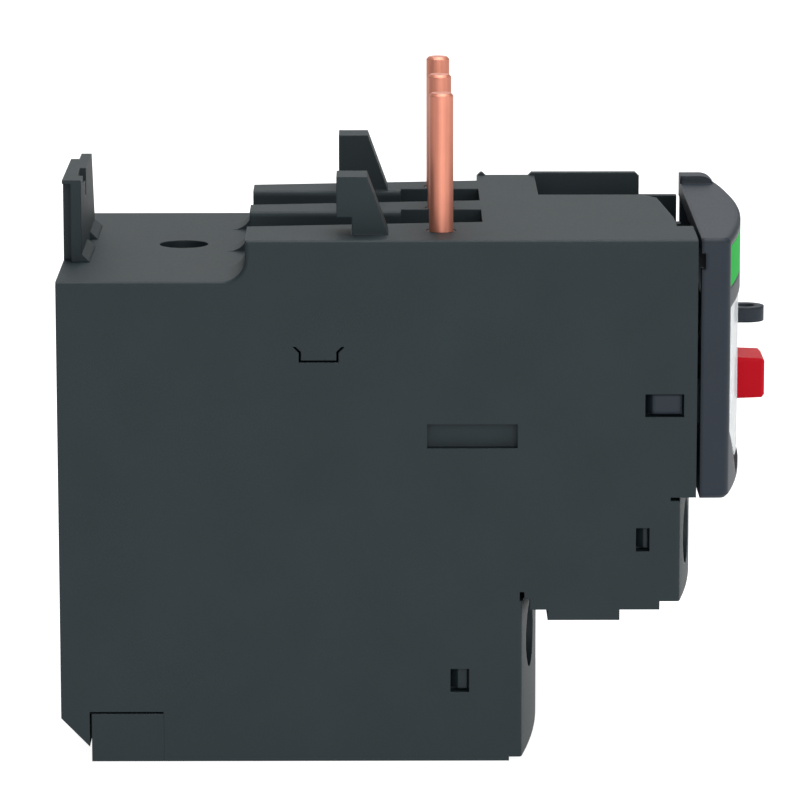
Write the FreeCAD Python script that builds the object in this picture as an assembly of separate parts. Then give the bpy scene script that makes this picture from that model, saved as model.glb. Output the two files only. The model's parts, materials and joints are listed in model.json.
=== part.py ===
import FreeCAD, Part
import math
import os

V = FreeCAD.Vector

# Thermal overload relay. Millimetres.
# x runs across the width, d is the distance in front of the back face, z is the height.

# Casing
WIDTH = 45.0
HALF = WIDTH / 2
POLE_MARGIN = 7.7
POLE_MIDDLE_X = -1.2
POLE_PITCH = HALF - POLE_MARGIN
POLE_X = tuple(POLE_MIDDLE_X + POLE_PITCH * (i - 1) for i in range(3))
FLAT_BOTTOM_END_D = 44.39
CONTROL_REACH = 18.31
BODY_FRONT_D = FLAT_BOTTOM_END_D + CONTROL_REACH
WALL = 1.6
ROOF = 1.8
SHELF_Z = 48.2
TOP_Z = 52.25
BACK_CHAMFER_Z = 4.4
BACK_CHAMFER_FOOT_Z = 1.5
RIB_START_D = 18.5
RAISED_TOP_LENGTH = 20.8
RIB_END_D = BODY_FRONT_D - RAISED_TOP_LENGTH
RISER_FILLET = 2.3
TOP_EDGE_FILLET = 0.45
UPPER_BOTTOM_Z = 26.65
RIB_SPANS = ((-HALF, POLE_X[0] + 2.6), (POLE_X[1] - 2.6, POLE_X[1] + 2.2), (POLE_X[2] - 3.2, POLE_X[2] + 1.5))
RIB_FLARE = 2.8
RIB_ROUND = 0.5
PIN_BACK = 4.2
PIN_D = RIB_END_D - PIN_BACK
PIN_POCKET_BACK = 3.9
PIN_POCKET_D = PIN_D - PIN_POCKET_BACK
PIN_POCKET_SIDE = 1.5
PIN_POCKET_DEEPER = 0.8
POCKET_WIDTH = 13.7
POCKET_WALL = 1.1
PLUG_POCKET_X = (HALF - POCKET_WALL - POCKET_WIDTH, HALF - POCKET_WALL)
PLUG_POCKET_LENGTH = 14.7
PLUG_POCKET_START_D = BODY_FRONT_D - PLUG_POCKET_LENGTH
PLUG_POCKET_DEPTH = 5.0
PLATEAU_EDGE_BACK = ((21.2, 1.6), (15.7, 1.6), (2.2, 2.6), (0.8, 3.5), (0.0, 4.4))
PLATEAU_EDGE = tuple((PLUG_POCKET_X[0] - x, BODY_FRONT_D - back) for x, back in PLATEAU_EDGE_BACK)
RIM_HEIGHT = 0.3
RIM_ROUND = 0.4
FAR_WALL_STEP = 3.6
FAR_WALL_STEP_D = BODY_FRONT_D - FAR_WALL_STEP
RIM_LENGTHS = (1.0, 11.8)
RIM_STRETCHES = ((RIB_END_D, RIB_END_D + RIM_LENGTHS[0]), (FAR_WALL_STEP_D - RIM_LENGTHS[1], FAR_WALL_STEP_D))
FAR_LIP = 0.4
FAR_WALL_STEP_Z = 50.1
SHELF_HOLE = (1.0, 11.65, 2.5)
CLEARANCE = 0.05
SEAM = 0.1

# Bulged fronts
COVER_RADIUS = WIDTH * 2.4
BLOCK_RADIUS = WIDTH * 2.78
BULGE_EDGE = 0.35
POWER_BULGE = 3.24
CONTROL_BULGE = 0.46
POWER_CROWN_D = FLAT_BOTTOM_END_D + POWER_BULGE
POWER_TOP_Z = 16.25
POWER_BOTTOM_Z = 0.4
CONTROL_CROWN_D = BODY_FRONT_D + CONTROL_BULGE
CONTROL_BOTTOM_Z = 16.2
SKIRT_STEP = 2.01
SKIRT_BACK_D = FLAT_BOTTOM_END_D + SKIRT_STEP
CONTROL_STEP_Z = 15.36
CONTROL_STEP_D = BODY_FRONT_D - 3.5
CONTROL_RIM_Z = 14.31
CONTROL_RIM_D = (POWER_CROWN_D + 0.52, BODY_FRONT_D - 7.44)
CONTROL_BACK_D = SKIRT_BACK_D + 0.6

# Contactor hooks on the rib tops
HOOK_SPANS = ((POLE_X[0] - 3.0, POLE_X[0] + 1.4), (POLE_X[2] - 2.7, POLE_X[2] + 1.5))
HOOK_BACK = ((8.8, 0.0), (5.2, 0.0), (7.3, 5.75), (10.3, 5.75), (10.3, 1.75), (8.8, 1.75))
HOOK_SIDE = tuple((PIN_D - back, rise) for back, rise in HOOK_BACK)

# Rear tab
TAB_X = (-10.4, 13.3)
TAB_TOP_FAR_X = 8.8
TAB_BACK_X = 4.9
TAB_HEIGHT = 8.25
TAB_DEPTH = 1.9
TAB_FRONT_START_D = 0.85
TAB_BACK_INSET = 1.6
TAB_BRIDGE = 0.35
TAB_NOTCH_X = (-7.2, -1.7)
TAB_NOTCH_START_D = 1.3
TAB_NOTCH_DEPTH = 1.1
TAB_GROOVE_WIDTH = 1.5
TAB_GROOVE_DEPTH = 2.7
TAB_GROOVE_CUT = 0.3
RAMP_SPANS = ((-10.4, -0.4), (4.2, 13.3))
RAMP_DEPTH = 0.8
RAMP_HEIGHT = 0.8

# Side details
COVER_WINDOW = (BODY_FRONT_D - 5.06, BODY_FRONT_D - 1.27, 34.7, 36.98)
CONTROL_WINDOW = (BODY_FRONT_D - 5.88, BODY_FRONT_D - 4.55, 21.23, 23.58)
POWER_WINDOW = (FLAT_BOTTOM_END_D - 5.82, FLAT_BOTTOM_END_D - 3.98, 7.01, 9.36)
SIDE_RECESS = (BODY_FRONT_D - 26.45, BODY_FRONT_D - 17.57, 31.62, 34.02)
SIDE_RECESS_DEPTH = 1.0
UPPER_NICK = (BODY_FRONT_D - 2.5, BODY_FRONT_D - 1.6, UPPER_BOTTOM_Z - 0.35, UPPER_BOTTOM_Z)
LOWER_NICK = (SKIRT_BACK_D - 1.0, SKIRT_BACK_D - 0.55, POWER_TOP_Z, POWER_TOP_Z + 0.9)
SKIRT_SLIT = (SKIRT_BACK_D - 0.55, SKIRT_BACK_D, POWER_TOP_Z, POWER_TOP_Z + 0.2)
SLIT = 0.22
SLIT_D = (23.7, 27.6)
SLIT_Z = (40.2, 41.16)
SLIT_FLARE = 0.6
LATCH_FRONT_GAP = 0.18
LATCH_LOW_GAP = 0.25
EAR_OUT = 1.1
EAR_RAMP = 0.7

# Poles
PIN_RADIUS = 1.2
PIN_HOLE_RADIUS = 1.5
PIN_SHOULDER_RADIUS = 1.4
PIN_SHOULDER_DROP = 0.05
PIN_CHAMFER = 0.25
PIN_TOP_Z = 65.9
STRAP_THICKNESS = 1.2
STRAP_WIDTH = 5.0
TONGUE_WIDTH = 1.5
TONGUE_THICKNESS = 1.2

# Bimetal strips, heater windings and slide bars
STRIP_THICKNESS = 1.0
STRIP_WIDTH = 5.0
POWER_BLOCK_LENGTH = 14.19
POWER_BACK_D = FLAT_BOTTOM_END_D - POWER_BLOCK_LENGTH
STRIP_TO_BLOCK = 9.7
STRIP_D = POWER_BACK_D - STRIP_TO_BLOCK
STRAP_BACK_D = STRIP_D + 4.1
STRIP_ROOT_Z = 6.5
STRIP_TOP_Z = 41.5
WIRE = 0.8
WINDING_GAP = 0.25
WINDING_PITCH = 1.9
WINDING_TURNS = 9
WINDING_BOTTOM_Z = 12.0
LOWER_SLIDE_Z = 34.6
UPPER_SLIDE_Z = 38.2
SLIDE_THICKNESS = 1.8
SLIDE_WIDTH = 6.8
SLIDE_OVERHANG = 2.6
SLIDE_X = (POLE_X[0] - SLIDE_OVERHANG, POLE_X[2] + SLIDE_OVERHANG)
STRIP_SLOT_GAP = 0.2
DIFFERENTIAL_X = POLE_X[2] + 1.0
DIFFERENTIAL_D = STRIP_D + 3.5
DIFFERENTIAL_THICKNESS = 1.4
DIFFERENTIAL_WIDTH = 1.4
DIFFERENTIAL_TOP_Z = 43.4
LINK_PIN_RADIUS = 0.45
LINK_PIN_LENGTH = 2.4
BARRIER_THICKNESS = 1.2
BARRIER_D = (STRIP_D - 8.5, STRIP_D + 9.5)
GUIDE_LIP_Z = 40.0

# Base plate
BASE_THICKNESS = 2.3
BASE_LUG_D = (2.82, 10.14)
BASE_LUG_Z = 5.04
BASE_JOINT = 0.2

# Power terminals
POWER_SCREW_Z = 11.5
POWER_BORE_RADIUS = 3.4
POWER_HEAD_RADIUS = 3.0
POWER_HEAD_DEPTH = 1.6
POWER_SHANK_RADIUS = 1.75
POWER_BLOCK_TOP_Z = 19.0
POWER_CEILING = 1.4
LOAD_BAR_D = FLAT_BOTTOM_END_D - 5.59
LOAD_BAR_THICKNESS = 1.4
LOAD_BAR_WIDTH = 6.4
LOAD_BAR_TIP_Z = 8.2
LOAD_BAR_DROP_D = STRIP_D + 5.5
LOAD_FOOT_Z = 5.0
POWER_WIRE_GAP = 4.6
POWER_CAGE_WALL = 0.8
POWER_CAGE_FRONT = 1.8
POWER_CAGE_REAR = 1.2
POWER_CAGE_HEIGHT = 5.6
POWER_TRAVEL = 2.4

# Control terminals
CONTROL_MARGIN = 6.3
CONTROL_PITCH = (HALF - CONTROL_MARGIN) / 1.5
CONTROL_SCREW_Z = 22.05
CONTROL_BORE_RADIUS = 3.35
CONTROL_HEAD_RADIUS = 2.8
CONTROL_HEAD_DEPTH = 1.4
CONTROL_SHANK_RADIUS = 1.3
CONTROL_BAR_D = BODY_FRONT_D - 7.2
CONTROL_BAR_THICKNESS = 1.0
CONTROL_BAR_WIDTH = 4.8
CONTROL_BAR_TIP_Z = 17.6
CONTROL_WIRE_GAP = 4.6
CONTROL_CAGE_WALL = 0.7
CONTROL_CAGE_FRONT = 1.4
CONTROL_CAGE_REAR = 1.0
CONTROL_CAGE_HEIGHT = 4.4
CONTROL_TRAVEL = 1.8
CONTROL_CEILING = 0.75
CAGE_GAP = 0.3

# Switch
CONTACT_Z = (29.2, 31.4)
CONTACT_LEAD = 1.0
NORMALLY_CLOSED_X = 4.9 - 1.5 * CONTROL_PITCH
NORMALLY_OPEN_X = 1.5 * CONTROL_PITCH - 5.4
OPEN_GAP = 2.04
REAR_LEAD_D = CONTROL_BAR_D - 8.4
BRIDGE_D = (REAR_LEAD_D + 1.2, CONTROL_BAR_D - 1.3)
BRIDGE_THICKNESS = 0.6
TRIP_PIVOT_X = DIFFERENTIAL_X + 2.6
CARRIER_X = (NORMALLY_CLOSED_X - 3.2, TRIP_PIVOT_X + 2.0)
CARRIER_D = (REAR_LEAD_D + 0.1, REAR_LEAD_D + 2.9)
CARRIER_Z = (33.6, 35.4)
CARRIER_LEG = 1.2
TRIP_ARM = 10.6
TRIP_FINGER_D = (CARRIER_D[0] + CARRIER_D[1]) / 2
TRIP_PIVOT_D = TRIP_FINGER_D - TRIP_ARM
TRIP_PIVOT_RADIUS = 1.0
TRIP_LEVER_Z = (40.6, 43.0)
TRIP_FINGER_RADIUS = 0.7
STRIP_TIP_GAP = 0.7
COMPENSATOR_THICKNESS = 0.8
COMPENSATOR_D = STRIP_D + 4.2
COMPENSATOR_GRIP = 2.2

# Setting train
DIAL_MARGIN = 12.0
DIAL_X = DIAL_MARGIN - HALF
DIAL_Z = 37.0
DIAL_RADIUS = 5.5
DIAL_THICKNESS = 1.2
DIAL_SHAFT_RADIUS = 1.5
DIAL_SLOT = 1.0
FRAME_WALL_D = (BODY_FRONT_D - 6.5, BODY_FRONT_D - 5.1)
CAM_D = (FRAME_WALL_D[0] - 4.7, FRAME_WALL_D[0] - 1.9)
CAM_RADIUS = 3.0
CAM_RISE = 0.8
CAM_TURN = 270.0
CAM_POINTS = 9
CAM_FOLLOWER_GAP = 0.1
SETTING_SLIDE_Z = (38.4, 40.4)
SETTING_SLIDE_D = (CARRIER_D[0] - 4.8, CARRIER_D[0] - 2.2)

# Mechanism frame
FRAME_D = (BODY_FRONT_D - 31.7, BODY_FRONT_D - 1.7)
FRAME_PLATE_THICKNESS = 1.35
FRAME_WALL_TOP_Z = 44.0
POST_WIDTH = 1.5
CARRIER_POSTS_X = (NORMALLY_CLOSED_X + 2.3, NORMALLY_OPEN_X - 4.3)
SLIDE_POSTS_X = (-3.0, 10.0)

# Front cover
COVER_GAP = 0.35
COVER_BACK_D = BODY_FRONT_D + COVER_GAP
COVER_BULGE = 5.05
COVER_CROWN_D = COVER_BACK_D + COVER_BULGE
COVER_TOP_Z = TOP_Z + 0.15
COVER_BOTTOM_Z = UPPER_BOTTOM_Z - 0.1
COVER_CORNER = 1.1
COVER_TOP_EDGE = 0.35
COVER_FLOOR = 0.95
COVER_RIB_X = (HALF - 8.2, HALF - 5.3)
COVER_RIB_HEIGHT = 0.8
COVER_RIB_FLAT = 2.1
COVER_RIB_ROUND = 1.6
COVER_HOLLOW_SKIN = 1.2
LATCH_ARM = 1.0
LATCH_SINK = 0.35
LABEL_Z = (47.5, 51.5)
LABEL_HALF = HALF - 1.1
LABEL_THICKNESS = 0.4
LATCH_SLOT = (0.38, 49.35, 50.95)
LATCH_SLOT_REACH = 4.0
LUG_X = (0.0, 3.7)
LUG_Z = (40.15, 41.65)
LUG_REACH = 2.9
LUG_FRONT_D = COVER_CROWN_D + LUG_REACH
LUG_HOLE_RADIUS = 0.9

# Flap and face plate
FLAP_HALF = HALF - 1.5
FLAP_TOP_Z = 45.2
FLAP_CORNER = (FLAP_HALF - 6.5, 33.3)
FLAP_THICKNESS = 1.0
FLAP_SET_BACK = 0.15
FLAP_GAP = 0.25
HINGE_D = COVER_CROWN_D - 1.4
HINGE_Z = 29.3
KNUCKLE_RADIUS = 0.75
HINGE_PIN_RADIUS = 0.4
EAR_X = (HALF - 13.5, HALF - 12.1)
RECESS_BOTTOM_Z = 27.6
PLATE_Z = (30.4, 43.8)
PLATE_GAP = 0.15
FLAP_WINDOW = (HALF - 16.8, HALF - 6.8, 30.9, 43.4)

# Buttons
HEAD_CHAMFER = 0.3
STOP_X = HALF - 13.3
STOP_Z = 33.25
STOP_SIZE = (6.2, 4.7)
STOP_TAPER = 0.3
STOP_REACH = 3.4
STOP_FRONT_D = COVER_CROWN_D + STOP_REACH
STOP_BACK_D = COVER_BACK_D + 1.45
STOP_EDGE = 0.6
RESET_X = HALF - 11.5
RESET_Z = 39.8
RESET_RADIUS = 2.4
RESET_FRONT_D = COVER_CROWN_D - 0.8
RESET_BACK_D = COVER_BACK_D + 1.05
SELECTOR_RADIUS = 3.2
SELECTOR_LENGTH = 2.2
TEST_X = -1.8
TEST_Z = 38.6
TEST_RADIUS = 0.8
TEST_FRONT_D = COVER_CROWN_D - 1.9
TEST_COLLAR_RADIUS = 1.5
TEST_COLLAR_D = (COVER_BACK_D - 1.65, COVER_BACK_D - 0.85)
ROD_RADIUS = 1.2
ROD_BACK_D = FRAME_WALL_D[0] - 3.0
SPRING_WIRE = 0.22
SPRING_GAP = 0.3
SPRING_TURNS = 5
SPRING_BENDS = 8
BUTTON_GAP = 0.25
FLAG_X = (-4.0, -2.0)
FLAG_D = (CARRIER_D[1], COVER_BACK_D - 0.25)

INNER = HALF - WALL
BLOCK_HALF = INNER - CLEARANCE
OVERALL_DEPTH = STOP_FRONT_D
BACK_Y = OVERALL_DEPTH / 2
ROOF_Z = SHELF_Z - ROOF
CONTROL_X = tuple(CONTROL_PITCH * (i - 1.5) for i in range(4))
FLOOR_FRONT_D = COVER_BACK_D + COVER_FLOOR
DIAL_BACK_D = FLOOR_FRONT_D + 0.3
DIAL_FACE_D = DIAL_BACK_D + DIAL_THICKNESS
FRAME_PLATE_Z = (UPPER_BOTTOM_Z, UPPER_BOTTOM_Z + FRAME_PLATE_THICKNESS)


# Shapes in x, d, z
def at(x, d, z):
    return V(x, BACK_Y - d, z)


def box(x0, x1, d0, d1, z0, z1):
    return Part.makeBox(x1 - x0, d1 - d0, z1 - z0, at(x0, d1, z0))


def prism(points, path):
    outline = Part.makePolygon(points + [points[0]])
    return Part.Face(outline).extrude(path)


def side_prism(outline, x0, x1):
    return prism([at(x0, d, z) for d, z in outline], V(x1 - x0, 0, 0))


def plan_prism(outline, z0, z1):
    return prism([at(x, d, z0) for x, d in outline], V(0, 0, z1 - z0))


def front_prism(outline, d0, d1):
    return prism([at(x, d0, z) for x, z in outline], V(0, d0 - d1, 0))


def rod_d(x, z, radius, d0, d1):
    return Part.makeCylinder(radius, d1 - d0, at(x, d1, z), V(0, 1, 0))


def rod_z(x, d, radius, z0, z1):
    return Part.makeCylinder(radius, z1 - z0, at(x, d, z0), V(0, 0, 1))


def rod_x(d, z, radius, x0, x1):
    return Part.makeCylinder(radius, x1 - x0, at(x0, d, z), V(1, 0, 0))


def fused(shapes):
    return shapes[0].multiFuse(shapes[1:]).removeSplitter()


def cut(shape, tools):
    return shape.cut(Part.makeCompound(tools))


def sagged(crown_d, radius, x):
    return crown_d - (radius - math.sqrt(radius**2 - x**2))


def bulged(crown_d, back_d, half, z0, z1, radius=COVER_RADIUS):
    left = at(-half, sagged(crown_d, radius, half), z0)
    right = at(half, sagged(crown_d, radius, half), z0)
    rear_left = at(-half, back_d, z0)
    rear_right = at(half, back_d, z0)
    edges = [
        Part.makeLine(rear_left, left),
        Part.Arc(left, at(0, crown_d, z0), right).toShape(),
        Part.makeLine(right, rear_right),
        Part.makeLine(rear_right, rear_left),
    ]
    return Part.Face(Part.Wire(edges)).extrude(V(0, 0, z1 - z0))


def round_edges(shape, radius, wanted):
    edges = [edge for edge in shape.Edges if wanted(edge)]
    return shape.makeFillet(radius, edges)


def middle(edge):
    point = edge.valueAt((edge.FirstParameter + edge.LastParameter) / 2)
    return point.x, BACK_Y - point.y, point.z


def both_sides(make):
    return [make(-1), make(1)]


# Casing shell
def casing_body():
    lug_back, lug_front = BASE_LUG_D
    main = side_prism([
        (0, BACK_CHAMFER_Z), (0, SHELF_Z), (RIB_START_D, SHELF_Z), (RIB_START_D, TOP_Z),
        (BODY_FRONT_D, TOP_Z), (BODY_FRONT_D, UPPER_BOTTOM_Z), (FLAT_BOTTOM_END_D, UPPER_BOTTOM_Z),
        (FLAT_BOTTOM_END_D, 0), (lug_front, 0), (lug_front, BASE_LUG_Z), (lug_back, BASE_LUG_Z),
        (lug_back, BACK_CHAMFER_FOOT_Z),
    ], -HALF, HALF)
    rim_back, rim_front = CONTROL_RIM_D
    control = side_prism([
        (FLAT_BOTTOM_END_D, UPPER_BOTTOM_Z), (CONTROL_CROWN_D, UPPER_BOTTOM_Z),
        (CONTROL_CROWN_D, CONTROL_BOTTOM_Z), (CONTROL_STEP_D, CONTROL_BOTTOM_Z),
        (CONTROL_STEP_D, CONTROL_STEP_Z), (rim_front, CONTROL_STEP_Z), (rim_front, CONTROL_RIM_Z),
        (rim_back, CONTROL_RIM_Z), (rim_back, CONTROL_STEP_Z), (SKIRT_BACK_D, CONTROL_STEP_Z),
        (SKIRT_BACK_D, POWER_TOP_Z), (FLAT_BOTTOM_END_D, POWER_TOP_Z),
    ], -HALF, HALF).common(bulged(CONTROL_CROWN_D, FLAT_BOTTOM_END_D, HALF, 0, UPPER_BOTTOM_Z, BLOCK_RADIUS))
    power = bulged(POWER_CROWN_D, FLAT_BOTTOM_END_D, HALF, POWER_BOTTOM_Z, POWER_TOP_Z, BLOCK_RADIUS)

    def front_corner(edge):
        x, d, z = middle(edge)
        crowns = (CONTROL_CROWN_D, POWER_CROWN_D)
        on_face = any(abs(d - sagged(crown, BLOCK_RADIUS, HALF)) < 0.01 for crown in crowns)
        return on_face and edge.BoundBox.ZLength > BULGE_EDGE and edge.BoundBox.YLength < BULGE_EDGE

    control = round_edges(control, BULGE_EDGE, front_corner)
    power = round_edges(power, BULGE_EDGE, front_corner)
    return fused([main, control, power])


def casing_cavity():
    lug_back = BASE_LUG_D[0]
    raised_roof_z = TOP_Z - ROOF
    raised_start_d = RIB_END_D + WALL
    past = CONTROL_CROWN_D + 1
    hollow = side_prism([
        (lug_back, -1), (lug_back, BASE_LUG_Z + WALL), (WALL, BASE_LUG_Z + WALL), (WALL, ROOF_Z),
        (raised_start_d, ROOF_Z), (raised_start_d, raised_roof_z), (past, raised_roof_z), (past, -1),
    ], -INNER, INNER)
    pocket_left, pocket_right = PLUG_POCKET_X
    pocket_case = box(pocket_left - WALL, HALF, PLUG_POCKET_START_D - WALL, BODY_FRONT_D,
                      TOP_Z - PLUG_POCKET_DEPTH - WALL, TOP_Z)
    return hollow.cut(pocket_case)


def rib_grooves():
    grooves = []
    starts = [span[1] for span in RIB_SPANS]
    ends = [span[0] for span in RIB_SPANS[1:]] + [HALF + 1]
    for index, (left, right) in enumerate(zip(starts, ends)):
        closed = index < len(RIB_SPANS) - 1
        groove = plan_prism([(left, RIB_START_D), (left + RIB_FLARE, RIB_END_D), (right, RIB_END_D),
                             (right, RIB_START_D - 1), (left, RIB_START_D - 1)], SHELF_Z, TOP_Z + 1)
        grooves.append(groove)
        if closed:
            grooves.append(box(left + RIB_FLARE, right + PIN_POCKET_SIDE, PIN_POCKET_D, RIB_END_D,
                               SHELF_Z - PIN_POCKET_DEEPER, TOP_Z + 1))
            round_z = TOP_Z - RIB_ROUND
            corner = box(right - 1, right + RIB_ROUND, RIB_START_D - 1, PIN_POCKET_D, round_z, TOP_Z + 1)
            grooves.append(corner.cut(rod_d(right + RIB_ROUND, round_z, RIB_ROUND, RIB_START_D - 1,
                                            PIN_POCKET_D)))
    return grooves


def riser_fillets():
    wedges = []
    for left, right in RIB_SPANS:
        block = box(left, right, RIB_START_D - RISER_FILLET, RIB_START_D, SHELF_Z, SHELF_Z + RISER_FILLET)
        round_tool = rod_x(RIB_START_D - RISER_FILLET, SHELF_Z + RISER_FILLET, RISER_FILLET, left, right)
        wedges.append(block.cut(round_tool))
    return wedges


def contactor_hook(left, right):
    return side_prism([(d, TOP_Z + z) for d, z in HOOK_SIDE], left, right)


def far_rim(back, front):
    top = TOP_Z + RIM_HEIGHT
    left = PLUG_POCKET_X[1]
    return side_prism([(back, TOP_Z - 1), (back, top - RIM_ROUND), (back + RIM_ROUND, top),
                       (front - RIM_ROUND, top), (front, top - RIM_ROUND), (front, TOP_Z - 1)], left, HALF)


def side_slit(side):
    x0 = INNER - 1 if side > 0 else -HALF - 1
    x1 = x0 + WALL + 2
    back, front = SLIT_D
    low, high = SLIT_Z
    flare_z = high + SLIT_FLARE
    return side_prism([
        (back, low), (front, low), (front, high), (front + SLIT_FLARE, flare_z),
        (front + SLIT_FLARE - 1.4 * SLIT, flare_z), (front - SLIT, high + SLIT / 2),
        (front - SLIT, low + SLIT), (back + SLIT, low + SLIT), (back + SLIT, high + SLIT / 2),
        (back - SLIT_FLARE + 1.4 * SLIT, flare_z), (back - SLIT_FLARE, flare_z), (back, high),
    ], x0, x1)


def side_window(window, side):
    back, front, low, high = window
    x0 = INNER - 1 if side > 0 else -HALF - 1
    return box(x0, x0 + WALL + 2, back, front, low, high)


def side_recess(side):
    back, front, low, high = SIDE_RECESS
    x0 = HALF - SIDE_RECESS_DEPTH if side > 0 else -HALF - 1
    return box(x0, x0 + SIDE_RECESS_DEPTH + 1, back, front, low, high)


def housing():
    shell = casing_body()
    shell = cut(shell, rib_grooves())
    shell = fused([shell] + riser_fillets())
    top_edges = (SHELF_Z, TOP_Z)

    def long_top_edge(edge):
        x, d, z = middle(edge)
        on_top = any(abs(z - level) < 0.01 for level in top_edges)
        box_size = edge.BoundBox
        return on_top and abs(abs(x) - HALF) < 0.01 and box_size.YLength > 1.0

    shell = round_edges(shell, TOP_EDGE_FILLET, long_top_edge)
    pocket_left, pocket_right = PLUG_POCKET_X
    pocket_floor = TOP_Z - PLUG_POCKET_DEPTH
    hole_x, hole_d, hole_radius = SHELF_HOLE
    rims = [far_rim(back, front) for back, front in RIM_STRETCHES]
    hooks = [contactor_hook(left, right) for left, right in HOOK_SPANS]
    lip = box(INNER, HALF, BODY_FRONT_D - 1, BODY_FRONT_D + FAR_LIP, UPPER_BOTTOM_Z, FAR_WALL_STEP_Z)
    shell = fused([shell, lip] + rims + hooks)
    past_front = BODY_FRONT_D + 1
    tools = [
        casing_cavity(),
        box(pocket_left, pocket_right, PLUG_POCKET_START_D, past_front, pocket_floor, TOP_Z + 1),
        plan_prism(list(PLATEAU_EDGE) + [(pocket_left, past_front), (PLATEAU_EDGE[0][0], past_front)],
                   TOP_Z - ROOF - 1, TOP_Z + 1),
        box(pocket_right - 1, HALF + 1, FAR_WALL_STEP_D, past_front, FAR_WALL_STEP_Z, TOP_Z + 1),
        rod_z(hole_x, hole_d, hole_radius, ROOF_Z - 1, SHELF_Z + 1),
    ]
    tools += [rod_z(x, PIN_D, PIN_HOLE_RADIUS, ROOF_Z - 1, TOP_Z + 1) for x in POLE_X]
    for window in (COVER_WINDOW, CONTROL_WINDOW, POWER_WINDOW, UPPER_NICK, LOWER_NICK, SKIRT_SLIT):
        tools += both_sides(lambda side, hole=window: side_window(hole, side))
    tools += both_sides(side_slit)
    tools += both_sides(side_recess)
    for tool in tools:
        shell = shell.cut(tool)
    return shell.removeSplitter()


def rear_tab():
    left, right = TAB_X
    top = SHELF_Z + TAB_HEIGHT
    front_plate = front_prism([(left, SHELF_Z), (right, SHELF_Z), (TAB_TOP_FAR_X, top), (left, top)],
                              TAB_FRONT_START_D, TAB_DEPTH)
    rear_part = box(left + TAB_BACK_INSET, TAB_BACK_X, 0, TAB_FRONT_START_D, SHELF_Z, top)
    bridge = box(left, TAB_BACK_X, 0, TAB_FRONT_START_D, top - TAB_BRIDGE, top)
    ramps = [
        side_prism([(TAB_DEPTH, SHELF_Z), (TAB_DEPTH + RAMP_DEPTH, SHELF_Z),
                    (TAB_DEPTH, SHELF_Z + RAMP_HEIGHT)],
                   x0, x1) for x0, x1 in RAMP_SPANS
    ]
    tab = fused([front_plate, rear_part, bridge] + ramps)
    notch_left, notch_right = TAB_NOTCH_X
    return cut(tab, [
        box(notch_left, notch_right, TAB_NOTCH_START_D, TAB_DEPTH + 1, top - TAB_NOTCH_DEPTH, top + 1),
        box(notch_right - TAB_GROOVE_WIDTH, notch_right, TAB_DEPTH - TAB_GROOVE_CUT, TAB_DEPTH + 1,
            top - TAB_GROOVE_DEPTH, top),
    ])


# Base plate with pole barriers
def base_plate():
    back, front = BASE_LUG_D
    lug_back = back + BASE_JOINT
    lug_top = BASE_LUG_Z - BASE_JOINT
    plate = box(-BLOCK_HALF, BLOCK_HALF, lug_back, POWER_BACK_D - SEAM, 0, BASE_THICKNESS)
    lugs = [box(-HALF, -INNER + WALL, lug_back, front, 0, lug_top),
            box(INNER - WALL, HALF, lug_back, front, 0, lug_top)]
    pads = [box(x - LOAD_BAR_WIDTH / 2, x + LOAD_BAR_WIDTH / 2, STRIP_D - STRIP_WIDTH / 2, LOAD_BAR_DROP_D,
                BASE_THICKNESS - 1, LOAD_FOOT_Z) for x in POLE_X]
    barriers = []
    rear, fore = BARRIER_D
    slide_back = STRIP_D - SLIDE_WIDTH / 2 - CLEARANCE
    slide_front = STRIP_D + SLIDE_WIDTH / 2 + CLEARANCE
    for left_pole, right_pole in zip(POLE_X, POLE_X[1:]):
        x0 = (left_pole + right_pole) / 2 - BARRIER_THICKNESS / 2
        x1 = x0 + BARRIER_THICKNESS
        wall = box(x0, x1, rear, fore, BASE_THICKNESS - 1, GUIDE_LIP_Z)
        track = box(x0 - 1, x1 + 1, slide_back, slide_front, LOWER_SLIDE_Z - SEAM, GUIDE_LIP_Z + 1)
        barriers.append(wall.cut(track))
    return fused([plate] + lugs + pads + barriers)


# Current path of one pole
def contact_pin(x):
    rod = rod_z(x, PIN_D, PIN_RADIUS, ROOF_Z - STRAP_THICKNESS, PIN_TOP_Z)

    def tip(edge):
        return abs(middle(edge)[2] - PIN_TOP_Z) < 0.01 and edge.isClosed()

    rod = rod.makeChamfer(PIN_CHAMFER, [edge for edge in rod.Edges if tip(edge)])
    shoulder = rod_z(x, PIN_D, PIN_SHOULDER_RADIUS, ROOF_Z - STRAP_THICKNESS, TOP_Z - PIN_SHOULDER_DROP)
    strap = box(x - STRAP_WIDTH / 2, x + STRAP_WIDTH / 2, STRAP_BACK_D, PIN_D + STRAP_WIDTH / 2,
                ROOF_Z - STRAP_THICKNESS, ROOF_Z)
    tongue_left = x - STRAP_WIDTH / 2
    tongue = box(tongue_left, tongue_left + TONGUE_WIDTH, STRAP_BACK_D, STRAP_BACK_D + TONGUE_THICKNESS,
                 heater_lead_top() + CAGE_GAP, ROOF_Z)
    return fused([rod, shoulder, strap, tongue])


def heater_lead_top():
    return WINDING_BOTTOM_Z + WINDING_PITCH * WINDING_TURNS + 3 * WIRE


def bimetal(x):
    half = STRIP_THICKNESS / 2
    tip = STRIP_TOP_Z
    outline = [(x - half, STRIP_ROOT_Z), (x + half, STRIP_ROOT_Z), (x + half, tip - half),
               (x + half / 2, tip), (x - half / 2, tip), (x - half, tip - half)]
    return front_prism(outline, STRIP_D - STRIP_WIDTH / 2, STRIP_D + STRIP_WIDTH / 2)


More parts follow.
